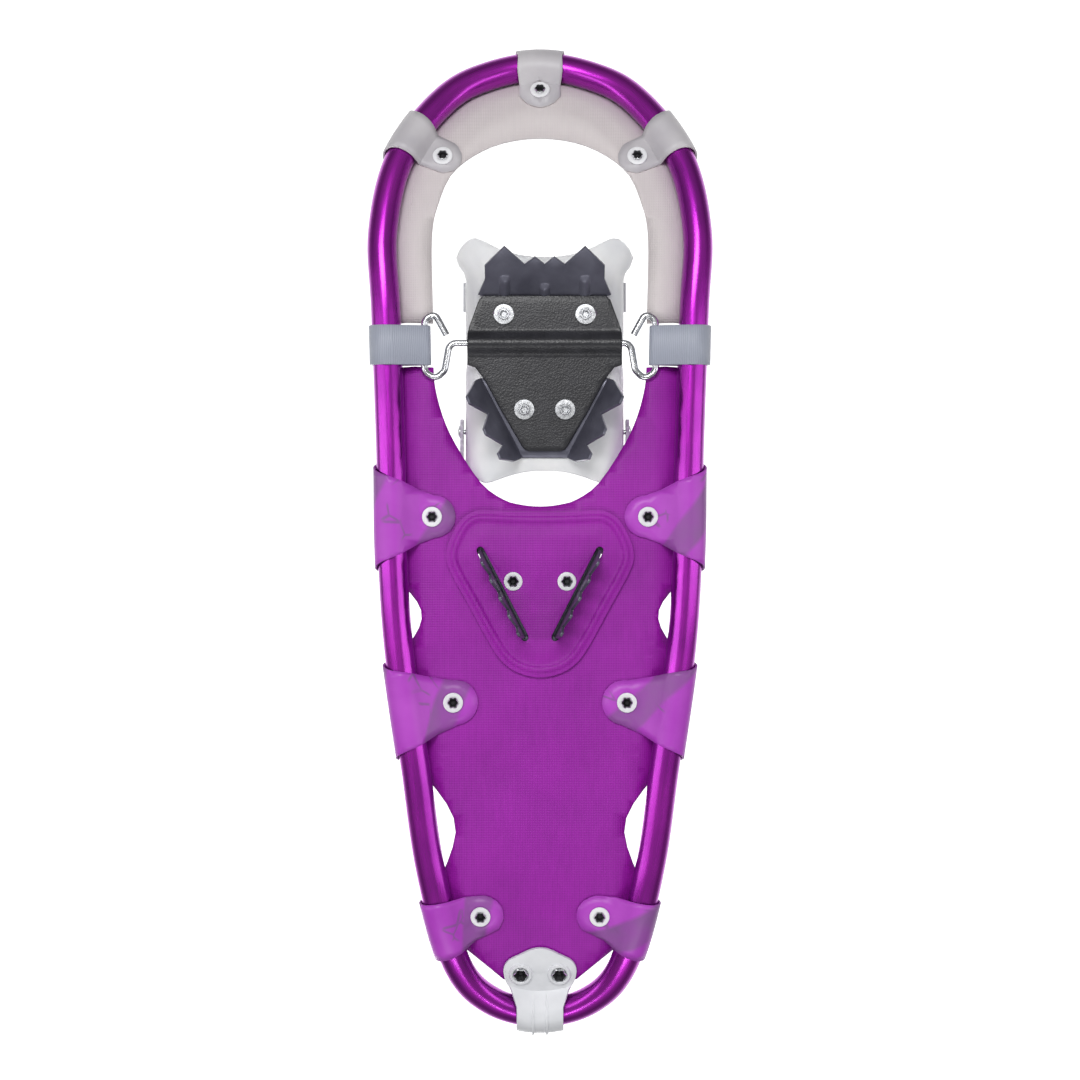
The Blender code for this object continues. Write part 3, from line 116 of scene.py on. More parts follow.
# name: (v of the foot on the tube, rivet inboard of the middle line, half width outside, end radius, power)
deckTabs = {
    "front": (14.6, 25.8, 32.3, 13.6, 1.0),
    "middle": (-108.6, 29.9, 30.0, 14.4, 1.0),
    "rear": (-248.0, 24.4, 19.3, 13.4, 0.8),
}
toeTabs = {"nose": (323.7, 19.8, 16.6, 12.2, 1.0), "side": (263.0, 24.0, 17.8, 11.2, 1.8)}


# finishes: colours are linear, bump distances in metres
finishes = {
    "anodised": {"light": (0.42, 0.012, 0.45), "dark": (0.32, 0.006, 0.36), "roughness": 0.27},
    "deckUnder": {"light": (0.37, 0.010, 0.42), "dark": (0.22, 0.002, 0.26), "roughness": 0.5, "thread": 2.2},
    "deckTop": {"light": (0.49, 0.075, 0.58), "dark": (0.41, 0.045, 0.50), "roughness": 0.36,
                "graphic": (0.16, 0.10, 0.20)},
    "toeUnder": {"light": (0.66, 0.61, 0.61), "dark": (0.57, 0.52, 0.53), "roughness": 0.5, "thread": 1.6},
    "toeTop": {"light": (0.56, 0.54, 0.56), "dark": (0.46, 0.44, 0.47)},
}


def put(tree, kind, inputs=None, **settings):
    # one node; a socket given as an input is linked, anything else is set
    node = tree.nodes.new(kind)
    for key, value in settings.items():
        setattr(node, key, value)
    for key, value in (inputs or {}).items():
        if isinstance(value, bpy.types.NodeSocket):
            tree.links.new(value, node.inputs[key])
        else:
            node.inputs[key].default_value = value
    return node


def newFinish(name, roughness, metallic=0.0):
    made = bpy.data.materials.new(name)
    made.use_nodes = True
    tree = made.node_tree
    shader = tree.nodes["Principled BSDF"]
    shader.inputs["Roughness"].default_value = roughness
    shader.inputs["Metallic"].default_value = metallic
    return made, tree, shader


def noise(tree, scale, detail=4.0, vector=None, stretch=None):
    # noise in object space, or along a given vector, optionally stretched
    if vector is None:
        vector = put(tree, "ShaderNodeTexCoord").outputs["Object"]
    if stretch:
        vector = put(tree, "ShaderNodeMapping", {"Vector": vector, "Scale": stretch}).outputs["Vector"]
    return put(tree, "ShaderNodeTexNoise", {"Vector": vector, "Scale": scale, "Detail": detail}).outputs["Fac"]


def ramp(tree, value, low, high, first=0.0, last=1.0):
    # clamps and stretches a value from low-high to first-last
    return put(tree, "ShaderNodeMapRange", {"Value": value, "From Min": low, "From Max": high,
                                            "To Min": first, "To Max": last}).outputs["Result"]


def blendColour(tree, share, first, last):
    node = put(tree, "ShaderNodeMix", data_type="RGBA")
    for index, value in ((0, share), (6, first), (7, last)):
        if isinstance(value, bpy.types.NodeSocket):
            tree.links.new(value, node.inputs[index])
        elif index:
            node.inputs[index].default_value = (*value[:3], 1.0)
        else:
            node.inputs[index].default_value = value
    return node.outputs[2]


def sums(tree, operation, a, b):
    return put(tree, "ShaderNodeMath", {0: a, 1: b}, operation=operation).outputs[0]


def bump(tree, shader, height, distance, strength=1.0):
    # adds to whatever bump the shader already has
    node = put(tree, "ShaderNodeBump", {"Height": height, "Distance": distance, "Strength": strength})
    before = shader.inputs["Normal"].links
    if before:
        tree.links.new(before[0].from_socket, node.inputs["Normal"])
    tree.links.new(node.outputs["Normal"], shader.inputs["Normal"])


def plain(name, light, dark, roughness, metallic=0.0, patch=60.0, grain=900.0, depth=0.00003, stretch=None):
    # two close shades in soft patches, a fine grain and roughness that wanders a little
    made, tree, shader = newFinish(name, roughness, metallic)
    wander = ramp(tree, noise(tree, patch, 3.0, stretch=stretch), 0.35, 0.65)
    tree.links.new(blendColour(tree, wander, dark, light), shader.inputs["Base Color"])
    fine = noise(tree, grain, 2.0, stretch=stretch)
    tree.links.new(ramp(tree, fine, 0.3, 0.7, roughness - 0.05, roughness + 0.07), shader.inputs["Roughness"])
    bump(tree, shader, fine, depth)
    return made


def weaveHeight(tree, vector, period):
    # plain weave from two crossed waves, vector in millimetres
    apart = put(tree, "ShaderNodeSeparateXYZ", {"Vector": vector})
    turn = 2 * math.pi / period
    waves = []
    for way in ("ADD", "SUBTRACT"):
        slant = sums(tree, way, apart.outputs[0], apart.outputs[1])
        waves.append(sums(tree, "SINE", sums(tree, "MULTIPLY", slant, turn * 0.7), 0))
    return sums(tree, "MULTIPLY", sums(tree, "ADD", sums(tree, "MULTIPLY", *waves), 1.0), 0.5)


def wovenFinish(name, values):
    made, tree, shader = newFinish(name, values["roughness"])
    flat = put(tree, "ShaderNodeTexCoord").outputs["UV"]
    weave = weaveHeight(tree, flat, values["thread"])
    cloud = ramp(tree, noise(tree, 0.022, 3.0, flat), 0.3, 0.7)
    slub = ramp(tree, noise(tree, 0.5, 2.0, flat, (1.0, 0.12, 1.0)), 0.3, 0.7)
    share = sums(tree, "ADD", sums(tree, "MULTIPLY", weave, 0.45),
                 sums(tree, "ADD", sums(tree, "MULTIPLY", cloud, 0.35), sums(tree, "MULTIPLY", slub, 0.2)))
    tree.links.new(blendColour(tree, share, values["dark"], values["light"]), shader.inputs["Base Color"])
    bump(tree, shader, weave, 0.00012)
    bump(tree, shader, cloud, 0.0008, 0.6)
    shader.inputs["Specular IOR Level"].default_value = 0.35
    return made


def printedFinish(name, values):
    # smooth face of the sheet: soft darker diagonal bands, each with a few twig-like strokes
    made, tree, shader = newFinish(name, values["roughness"])
    flat = put(tree, "ShaderNodeTexCoord").outputs["UV"]
    cloud = ramp(tree, noise(tree, 0.03, 3.0, flat), 0.3, 0.7)
    base = blendColour(tree, cloud, values["dark"], values["light"])
    tilted = put(tree, "ShaderNodeMapping", {"Vector": flat, "Rotation": (0, 0, 0.62)}).outputs["Vector"]
    bands = put(tree, "ShaderNodeTexWave", {"Vector": tilted, "Scale": 0.0052, "Distortion": 1.2, "Detail": 1.0,
                                            "Detail Scale": 0.7, "Phase Offset": 1.9}).outputs["Fac"]
    bend = put(tree, "ShaderNodeVectorMath", {0: flat, 1: put(tree, "ShaderNodeTexNoise", {
        "Vector": flat, "Scale": 0.09, "Detail": 2.0}).outputs["Color"]}, operation="ADD").outputs["Vector"]
    twigs = put(tree, "ShaderNodeTexVoronoi", {"Vector": bend, "Scale": 0.06}, feature="DISTANCE_TO_EDGE")
    twig = sums(tree, "MULTIPLY", ramp(tree, twigs.outputs["Distance"], 0.05, 0.02),
                ramp(tree, noise(tree, 0.04, 1.0, flat), 0.56, 0.62))
    band = sums(tree, "MULTIPLY", ramp(tree, bands, 0.72, 0.84), ramp(tree, cloud, 0.0, 1.0, 0.35, 0.75))
    mark = sums(tree, "MAXIMUM", band, sums(tree, "MULTIPLY", twig, 0.55))
    tree.links.new(blendColour(tree, mark, base, values["graphic"]), shader.inputs["Base Color"])
    bump(tree, shader, noise(tree, 1.6, 2.0, flat), 0.00003)
    bump(tree, shader, cloud, 0.0006, 0.5)
    shader.inputs["Specular IOR Level"].default_value = 0.35
    return made


def ribbedFinish(name, light, dark, roughness, period, across=0, depth=0.0002):
    # ribs a fixed distance apart along one axis of the flat layout
    made, tree, shader = newFinish(name, roughness)
    flat = put(tree, "ShaderNodeTexCoord").outputs["UV"]
    apart = put(tree, "ShaderNodeSeparateXYZ", {"Vector": flat})
    ribs = sums(tree, "SINE", sums(tree, "MULTIPLY", apart.outputs[across], 2 * math.pi / period), 0)
    ribs = sums(tree, "MULTIPLY", sums(tree, "ADD", ribs, 1.0), 0.5)
    threads = noise(tree, 2.5, 2.0, flat, (1.0, 0.4, 1.0) if across else (0.4, 1.0, 1.0))
    share = sums(tree, "ADD", sums(tree, "MULTIPLY", ribs, 0.7), sums(tree, "MULTIPLY", threads, 0.3))
    tree.links.new(blendColour(tree, share, dark, light), shader.inputs["Base Color"])
    bump(tree, shader, ribs, depth)
    bump(tree, shader, threads, 0.00005)
    return made


def anodisedFinish(values):
    # drawn tube: faint lines along it and a colour that shifts slightly
    made, tree, shader = newFinish("anodised tube", values["roughness"], 1.0)
    flat = put(tree, "ShaderNodeTexCoord").outputs["UV"]
    cloud = ramp(tree, noise(tree, 0.02, 3.0, flat), 0.35, 0.65)
    drawn = noise(tree, 3.0, 3.0, flat, (1.0, 0.02, 1.0))
    tree.links.new(blendColour(tree, cloud, values["dark"], values["light"]), shader.inputs["Base Color"])
    tree.links.new(ramp(tree, drawn, 0.3, 0.7, values["roughness"] - 0.04, values["roughness"] + 0.08),
                   shader.inputs["Roughness"])
    bump(tree, shader, drawn, 0.000004)
    shader.inputs["Coat Weight"].default_value = 0.6
    shader.inputs["Coat Roughness"].default_value = 0.2
    return made


def leatherFinish():
    made, tree, shader = newFinish("grained plate", 0.36)
    place = put(tree, "ShaderNodeTexCoord").outputs["Object"]
    cells = put(tree, "ShaderNodeTexVoronoi", {"Vector": place, "Scale": 900.0}).outputs["Distance"]
    cloud = ramp(tree, noise(tree, 90.0, 3.0), 0.3, 0.7)
    colour = blendColour(tree, cloud, (0.009, 0.009, 0.012), (0.02, 0.02, 0.025))
    tree.links.new(colour, shader.inputs["Base Color"])
    bump(tree, shader, cells, 0.0001)
    bump(tree, shader, cloud, 0.0001, 0.5)
    return made


def dimpledFinish():
    made, tree, shader = newFinish("foot pad foam", 0.75)
    place = put(tree, "ShaderNodeTexCoord").outputs["Object"]
    cells = put(tree, "ShaderNodeTexVoronoi", {"Vector": place, "Scale": 300.0, "Randomness": 0.25})
    # dimple depth; it also sets the colour, so the dimple bottoms are painted darker as shade
    dimpleWithPaintedShade = ramp(tree, cells.outputs["Distance"], 0.1, 0.5)
    tree.links.new(blendColour(tree, dimpleWithPaintedShade, (0.02, 0.02, 0.024), (0.07, 0.07, 0.08)), shader.inputs["Base Color"])
    bump(tree, shader, dimpleWithPaintedShade, 0.0006)
    bump(tree, shader, noise(tree, 1500.0), 0.0001)
    return made


def milkyFinish():
    made, tree, shader = newFinish("milky cradle", 0.38)
    cloud = ramp(tree, noise(tree, 45.0, 3.0), 0.3, 0.7)
    colour = blendColour(tree, cloud, (0.76, 0.77, 0.79), (0.88, 0.88, 0.88))
    tree.links.new(colour, shader.inputs["Base Color"])
    shader.inputs["Transmission Weight"].default_value = 0.35
    shader.inputs["IOR"].default_value = 1.4
    shader.inputs["Subsurface Weight"].default_value = 0.25
    shader.inputs["Subsurface Radius"].default_value = (0.004, 0.004, 0.004)
    bump(tree, shader, noise(tree, 700.0, 2.0), 0.00004)
    return made


anodised = anodisedFinish(finishes["anodised"])
deckUnder = wovenFinish("deck underside", finishes["deckUnder"])
deckTop = printedFinish("deck face", finishes["deckTop"])
toeUnder = wovenFinish("toe deck underside", finishes["toeUnder"])
toeTop = plain("toe deck face", finishes["toeTop"]["light"], finishes["toeTop"]["dark"], 0.42, 0.0, 30.0)
deckEdge = plain("deck cut edge", (0.30, 0.03, 0.36), (0.22, 0.01, 0.27), 0.6)
toeEdge = plain("toe deck cut edge", (0.62, 0.60, 0.61), (0.50, 0.47, 0.48), 0.6)
# painted shade: near-black finish for the insides of the hollow rivet ends, which are steel like the rest of
# the rivet
hollowPaintedShade = plain("rivet hollow painted shade", (0.03, 0.03, 0.035), (0.01, 0.01, 0.012), 0.5, 0.5)
clipGrey = plain("light grey plastic", (0.76, 0.77, 0.80), (0.68, 0.69, 0.72), 0.4)
webbing = ribbedFinish("grey webbing", (0.38, 0.405, 0.48), (0.28, 0.30, 0.37), 0.34, 1.25, 0, 0.00012)
zinc = plain("zinc plated steel", (0.70, 0.71, 0.73), (0.50, 0.51, 0.54), 0.17, 1.0, stretch=(1.0, 8.0, 8.0))
rivetSteel = plain("rivet steel", (0.70, 0.71, 0.73), (0.50, 0.51, 0.53), 0.28, 1.0, 200.0)
washerWhite = plain("white washer", (0.86, 0.86, 0.88), (0.74, 0.74, 0.77), 0.4)
blackPlate = leatherFinish()
spikeSteel = plain("slate coated steel", (0.135, 0.135, 0.175), (0.085, 0.085, 0.115), 0.34, 0.4, 50.0, 1200.0)
milky = milkyFinish()
foam = dimpledFinish()
strapGrey = ribbedFinish("pale grey strap", (0.58, 0.59, 0.61), (0.42, 0.43, 0.45), 0.45, 4.0, 1, 0.0003)
buckleDark = plain("charcoal buckle plastic", (0.07, 0.07, 0.08), (0.04, 0.04, 0.046), 0.4)
print("finishes made")


# shape helpers
def rollUp(x, v, n):
    # curls the flat layout up at nose and tail and returns true millimetres
    if v > noseStart:
        turn = (v - noseStart) / noseCurl
        y = noseStart + (noseCurl - n) * math.sin(turn)
        z = noseCurl - (noseCurl - n) * math.cos(turn)
    elif v < tailStart:
        turn = (tailStart - v) / tailCurl
        y = tailStart - (tailCurl - n) * math.sin(turn)
        z = tailCurl - (tailCurl - n) * math.cos(turn)
    else:
        y = v
        z = n
    return (x, y + lengthShift, z + groundToTube)


def rollMatrix(x, v, n):
    # place and tilt of a fastener that stands on the curled layout
    turn = 0.0
    if v > noseStart:
        turn = (v - noseStart) / noseCurl
    elif v < tailStart:
        turn = -(tailStart - v) / tailCurl
    return Matrix.Translation(Vector(rollUp(x, v, n))) @ Matrix.Rotation(turn, 4, "X")


def spline(run, perSpan):
    # Catmull-Rom curve through all but the first and last points of the run
    out = []
    for i in range(1, len(run) - 2):
        p0, p1, p2, p3 = run[i - 1:i + 3]
        for k in range(perSpan):
            t = k / perSpan
            out.append(0.5 * (2 * p1 + (p2 - p0) * t + (2 * p0 - 5 * p1 + 4 * p2 - p3) * t * t
                              + (3 * p1 - p0 - 3 * p2 + p3) * t ** 3))
    return [tuple(point) for point in out + [run[-2]]]


def smoothThrough(knots, perSpan):
    # an end on x = 0 meets its own mirror image smoothly
    points = [np.array(knot, float) for knot in knots]
    mirror = np.array([-1.0] + [1.0] * (len(knots[0]) - 1))
    first = points[1] * mirror if knots[0][0] == 0 else 2 * points[0] - points[1]
    last = points[-2] * mirror if knots[-1][0] == 0 else 2 * points[-1] - points[-2]
    return spline([first] + points + [last], perSpan)


def finishObject(name, builder, finish, smoothAngle=35.0, keepWinding=False):
    # turns a millimetre bmesh into a piece that rides its body and stands for its frame node
    bmesh.ops.scale(builder, vec=(0.001, 0.001, 0.001), verts=builder.verts)
    if not keepWinding:
        bmesh.ops.recalc_face_normals(builder, faces=builder.faces)
    mesh = bpy.data.meshes.new(name)
    builder.to_mesh(mesh)
    builder.free()
    mesh.shade_smooth()
    mesh.set_sharp_from_angle(angle=math.radians(smoothAngle))
    made = bpy.data.objects.new(name + "Look", mesh)
    bpy.context.collection.objects.link(made)
    for each in finish if isinstance(finish, list) else [finish]:
        mesh.materials.append(each)
    if name in bodyOfNode:
        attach(made, bodyOfNode[name])
        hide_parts(name)
    return made


def addThickness(made, thickness, offset=0.0):
    shell = made.modifiers.new("thickness", "SOLIDIFY")
    shell.thickness = thickness / 1000
    shell.offset = offset
    shell.use_even_offset = True
    shell.use_rim = True
    if len(made.data.materials) > 1:
        shell.material_offset = 1
        shell.material_offset_rim = 2


def bake(made, extras=()):
    # applies the modifiers, drops their cutters and joins extra loose shapes into the same mesh
    graph = bpy.context.evaluated_depsgraph_get()
    solid = bpy.data.meshes.new_from_object(made.evaluated_get(graph))
    cutters = [each.object for each in made.modifiers if each.type == "BOOLEAN"]
    made.modifiers.clear()
    builder = bmesh.new()
    builder.from_mesh(solid)
    for extra in extras:
        builder.from_mesh(extra.data)
    builder.to_mesh(solid)
    builder.free()
    made.data = solid
    for spare in cutters + list(extras):
        bpy.data.objects.remove(spare, do_unlink=True)
    return made


def soften(made, width, segments=2, angle=40.0):
    # small round on every sharp edge
    edge = made.modifiers.new("soft edge", "BEVEL")
    edge.width = width / 1000
    edge.segments = segments
    edge.limit_method = "ANGLE"
    edge.angle_limit = math.radians(angle)


def inside(point, loop):
    x, y = point
    odd = False
    for (ax, ay), (bx, by) in zip(loop, loop[1:] + loop[:1]):
        if (ay > y) != (by > y) and x < (bx - ax) * (y - ay) / (by - ay) + ax:
            odd = not odd
    return odd


def edgeDistance(point, loop):
    p = np.array(point)
    a = np.array(loop)
    b = np.roll(a, -1, axis=0)
    along = np.clip(((p - a) * (b - a)).sum(1) / np.maximum(((b - a) ** 2).sum(1), 1e-9), 0, 1)
    return float(np.linalg.norm(a + along[:, None] * (b - a) - p, axis=1).min())


def circle(cx, cy, radius, count):
    return [(cx + radius * math.cos(2 * math.pi * k / count), cy + radius * math.sin(2 * math.pi * k / count))
            for k in range(count)]


def pairHoles(places):
    # rivet holes on both sides of the middle line
    return [circle(s * x, v, holeRadius, 20) for x, v in places for s in (1, -1)]


def mirrored(half):
    # half outline from the +x side, first and last points on x = 0, made into a closed loop
    return half + [(-x, v) for x, v in reversed(half) if abs(x) > 1e-6]


def slot(start, end, halfWidth, count=5):
    # long hole with round ends
    a = Vector(start)
    b = Vector(end)
    heading = math.atan2(b.y - a.y, b.x - a.x)
    loop = []
    for centre, base in ((b, heading - math.pi / 2), (a, heading + math.pi / 2)):
        for k in range(count):
            angle = base + math.pi * k / (count - 1)
            loop.append((centre.x + halfWidth * math.cos(angle), centre.y + halfWidth * math.sin(angle)))
    return loop


def cutSheet(outline, holes, innerPoints, shape):
    # flat pattern cut to its outline, with holes, then laid into space by shape(x, v)
    coords = []
    edges = []
    for loop in [outline] + holes:
        start = len(coords)
        coords += [Vector(point) for point in loop]
        edges += [(start + k, start + (k + 1) % len(loop)) for k in range(len(loop))]
    for point in innerPoints:
        clear = min(edgeDistance(point, loop) for loop in [outline] + holes)
        if clear > 0.9 and inside(point, outline) and not any(inside(point, hole) for hole in holes):
            coords.append(Vector(point))
    found = delaunay_2d_cdt(coords, edges, [], 0, 1e-5)
    points = [(p.x, p.y) for p in found[0]]
    builder = bmesh.new()
    layer = builder.loops.layers.uv.new("flat")
    made = [builder.verts.new(shape(x, v)) for x, v in points]
    for face in found[2]:
        middle = (sum(points[i][0] for i in face) / len(face), sum(points[i][1] for i in face) / len(face))
        if inside(middle, outline) and not any(inside(middle, hole) for hole in holes):
            fresh = builder.faces.new([made[i] for i in face])
            for loop, i in zip(fresh.loops, face):
                loop[layer].uv = points[i]
    loose = [vert for vert in builder.verts if not vert.link_faces]
    bmesh.ops.delete(builder, geom=loose, context="VERTS")
    return builder


def turned(profile, sides, matrix=None, lobes=0.0):
    # closed profile of (radius, height) spun round z; lobes scallops the rings marked with a third value
    builder = bmesh.new()
    rings = []
    for radius, height, *scallop in profile:
        if radius < 1e-6:
            rings.append([builder.verts.new((0, 0, height))] * sides)
            continue
        ring = []
        for k in range(sides):
            angle = 2 * math.pi * k / sides
            reach = radius * (1 + lobes * math.cos(6 * angle)) if scallop else radius
            ring.append(builder.verts.new((reach * math.cos(angle), reach * math.sin(angle), height)))
        rings.append(ring)
    for ring, following in zip(rings, rings[1:] + rings[:1]):
        for k in range(sides):
            corners = [ring[k], ring[(k + 1) % sides], following[(k + 1) % sides], following[k]]
            unique = list(dict.fromkeys(corners))
            if len(unique) > 2:
                builder.faces.new(unique)
    if matrix:
        bmesh.ops.transform(builder, matrix=matrix, verts=builder.verts)
    return builder


def skinRings(rings, lengths, around, wall=False):
    # quads between rings of points, with the flat layer holding distance round and along
    builder = bmesh.new()
    layer = builder.loops.layers.uv.new("flat")
    made = [[builder.verts.new(point) for point in ring] for ring in rings]
    count = len(rings[0])
    for i in range(len(rings) - 1):
        for k in range(count):
            j = (k + 1) % count
            fresh = builder.faces.new([made[i][k], made[i][j], made[i + 1][j], made[i + 1][k]])
            for loop, (u, w) in zip(fresh.loops, ((k, i), (k + 1, i), (k + 1, i + 1), (k, i + 1))):
                loop[layer].uv = (around * u / count, lengths[w])
    if wall:
        for end in (made[0], made[-1]):
            builder.faces.new(end)
    return builder


def sweptRod(path, radius, sides):
    # round bar along a path of 3D points, ends capped
    points = [Vector(point) for point in path]
    normal = Vector((0, 0, 1))
    rings = []
    for i, point in enumerate(points):
        ahead = points[min(i + 1, len(points) - 1)] - points[max(i - 1, 0)]
        ahead.normalize()
        normal = (normal - ahead * normal.dot(ahead)).normalized()
        side = ahead.cross(normal)
        turns = [2 * math.pi * k / sides for k in range(sides)]
        rings.append([point + radius * (normal * math.cos(turn) + side * math.sin(turn)) for turn in turns])
    return skinRings(rings, list(range(len(rings))), 2 * math.pi * radius, True)


def roundedPath(corners, radius, steps):
    # polyline with its inner corners rounded
    points = [Vector(corner) for corner in corners]
    out = [points[0]]
    for before, corner, after in zip(points, points[1:], points[2:]):
        a = (before - corner).normalized()
        b = (after - corner).normalized()
        half = a.angle(b) / 2
        reach = min(radius / math.tan(half), 0.45 * (before - corner).length, 0.45 * (after - corner).length)
        size = reach * math.tan(half)
        centre = corner + (a + b).normalized() * (size / math.sin(half))
        start = corner + a * reach - centre
        finish = corner + b * reach - centre
        for k in range(steps + 1):
            out.append(centre + (start * (1 - k / steps) + finish * (k / steps)).normalized() * size)
    out.append(points[-1])
    return out


def boxed(low, high):
    builder = bmesh.new()
    bmesh.ops.create_cube(builder, size=1.0)
    size = [b - a for a, b in zip(low, high)]
    middle = [(a + b) / 2 for a, b in zip(low, high)]
    bmesh.ops.scale(builder, vec=size, verts=builder.verts)
    bmesh.ops.translate(builder, vec=middle, verts=builder.verts)
    return builder


# the tube's middle line and the way sheets wrap round it
tubeLine = np.array(smoothThrough(frameKnots, 12))
lineLength = np.concatenate([[0], np.cumsum(np.linalg.norm(np.diff(tubeLine, axis=0), axis=1))])
lineTangent = np.gradient(tubeLine, axis=0)
lineTangent /= np.linalg.norm(lineTangent, axis=1)[:, None]
lineTangent[0] = (1, 0)
lineTangent[-1] = (-1, 0)
lineInward = np.stack([lineTangent[:, 1], -lineTangent[:, 0]], axis=1)


def lineAt(length):
    # foot point and inward direction at a length along the right half of the middle line
    side = 1.0
    if length < 0:
        length = -length
        side = -1.0
    if length > lineLength[-1]:
        length = 2 * lineLength[-1] - length
        side = -1.0
    foot = [np.interp(length, lineLength, tubeLine[:, k]) for k in (0, 1)]
    inward = np.array([np.interp(length, lineLength, lineInward[:, k]) for k in (0, 1)])
    inward /= np.linalg.norm(inward)
    return np.array([side * foot[0], foot[1]]), np.array([side * inward[0], inward[1]])


def lengthAt(v):
    return float(np.interp(-v, -tubeLine[:, 1], lineLength))


def nearestOnLine(x, v):
    # length along the line and signed distance inboard of it
    p = np.array([abs(x), v])
    a = tubeLine[:-1]
    step = tubeLine[1:] - a
    along = np.clip(((p - a) * step).sum(1) / (step ** 2).sum(1), 0, 1)
    away = p - (a + along[:, None] * step)
    i = int(np.argmin((away ** 2).sum(1)))
    length = lineLength[i] + along[i] * (lineLength[i + 1] - lineLength[i])
    foot, inward = lineAt(length)
    return foot, inward, float((p - foot).dot(inward))


class Wrap:
    # a sheet that lies flat inboard, rises to the tube, goes round it and may come back underneath;
    # path is the length measured outward from where the flat part ends

    def __init__(self, radius, flatFrom, topLevel, lowLevel):
        self.radius = radius
        self.flatFrom = flatFrom
        self.topLevel = topLevel
        self.lowLevel = lowLevel
        reach = math.hypot(flatFrom, topLevel)
        self.topAngle = math.acos(radius / reach) + math.atan2(topLevel, flatFrom)
        self.topRun = math.sqrt(reach ** 2 - radius ** 2)
        reach = math.hypot(flatFrom, lowLevel)
        self.lowAngle = math.acos(radius / reach) - math.atan2(lowLevel, flatFrom)
        self.lowRun = math.sqrt(reach ** 2 - radius ** 2)
        self.arc = radius * (2 * math.pi - self.topAngle - self.lowAngle)

    def toAngle(self, degrees):
        # path at which the sheet has reached this angle round the tube (90 is the top)
        return self.topRun + self.radius * (math.radians(degrees) - self.topAngle)

    def back(self, inboard):
        # path at which the returning sheet is this far inboard again
        return self.topRun + self.arc + self.lowRun + inboard - self.flatFrom

    def rows(self, count):
        # paths at which a wrapped sheet needs a row of points
        turn = [self.topRun + self.arc * k / count for k in range(count + 1)]
        return [0.0] + turn + [self.back(self.flatFrom)]

    def profile(self, path):
        # distance inboard of the tube's middle line, and height
        if path <= 0:
            return self.flatFrom - path, self.topLevel
        if path <= self.topRun:
            k = path / self.topRun
            touch = (self.radius * math.cos(self.topAngle), self.radius * math.sin(self.topAngle))
            return (self.flatFrom + (touch[0] - self.flatFrom) * k,
                    self.topLevel + (touch[1] - self.topLevel) * k)
        if path <= self.topRun + self.arc:
            angle = self.topAngle + (path - self.topRun) / self.radius
            return self.radius * math.cos(angle), self.radius * math.sin(angle)
        path -= self.topRun + self.arc
        if path > self.lowRun:
            return self.flatFrom + path - self.lowRun, self.lowLevel
        k = path / self.lowRun
        touch = (self.radius * math.cos(self.lowAngle), -self.radius * math.sin(self.lowAngle))
        return touch[0] + (self.flatFrom - touch[0]) * k, touch[1] + (self.lowLevel - touch[1]) * k

    def pattern(self, length, path):
        # point of the flat pattern, before it is wrapped
        foot, inward = lineAt(length)
        point = foot + inward * (self.flatFrom - path)
        return (float(point[0]), float(point[1]))

    def lay(self, x, v):
        foot, inward, inboard = nearestOnLine(x, v)
        if inboard >= self.flatFrom:
            return rollUp(x, v, self.topLevel)
        away, height = self.profile(self.flatFrom - inboard)
        point = foot + inward * away
        return rollUp(math.copysign(point[0], x), point[1], height)


mainWrap = Wrap(wrapRadius, mainFlat, deckLevel, tabLevel)
toeWrap = Wrap(wrapRadius, toeFlat, deckLevel, tabLevel)
edgeAngle = 97             # between its tabs a deck ends just past the top of the tube
wrapRows = 20


def bendFactor(length, away):
    # how much a width shrinks when it moves inboard of a curved middle line
    before, _ = lineAt(length - 6)
    here, inward = lineAt(length)
    after, _ = lineAt(length + 6)
    sag = float(((before + after) / 2 - here).dot(inward))
    return 1 - away * 2 * sag / 36


def tabOutline(wrap, tab):
    # one tab of a deck: down one edge, round the end and back up, as pattern points
    footV, rivetIn, halfOutside, endRadius, power = tab
    centre = lengthAt(footV)
    startPath = wrap.toAngle(edgeAngle)
    rivetPath = wrap.back(rivetIn + 1.5)
    outsidePath = wrap.toAngle(180)
    edge = []
    rows = [startPath] + [row for row in wrap.rows(wrapRows) if startPath + 2 < row < rivetPath - 2]
    for path in rows + [rivetPath]:
        share = (rivetPath - path) / (rivetPath - outsidePath)
        half = endRadius + (halfOutside - endRadius) * share ** power
        away, _ = wrap.profile(path)
        edge.append((half / bendFactor(centre, away), path))
    shrink = bendFactor(centre, rivetIn)
    end = [(endRadius * math.cos(math.pi * k / 16) / shrink, rivetPath + endRadius * math.sin(math.pi * k / 16))
           for k in range(1, 16)]
    loop = edge + end + [(-across, path) for across, path in reversed(edge)]
    return [wrap.pattern(centre - across, path) for across, path in loop], centre, loop[0][0]


def tabGuides(wrap, tab):
    # rows of extra points so the tab bends smoothly round the tube
    centre = lengthAt(tab[0])
    points = []
    for row in wrap.rows(wrapRows):
        points += [wrap.pattern(centre + across, row) for across in range(-42, 43, 4)]
    return points


def rivetHoles(wrap, tab, side=1):
    # the matching holes in the deck and in the tab under it
    centre = lengthAt(tab[0])
    foot, inward = lineAt(centre)
    x, v = foot + inward * tab[1]
    shrink = bendFactor(centre, tab[1])
    tabHole = [wrap.pattern(centre + across / shrink, wrap.back(tab[1]) + path)
                for across, path in circle(0, 0, holeRadius, 20)]
    return [circle(side * x, v, holeRadius, 20), [(side * x, v) for x, v in tabHole]]


def flip(points):
    return [(-x, v) for x, v in points]


# frame
tubeLook = {"sides": 32, "wall": 1.3}


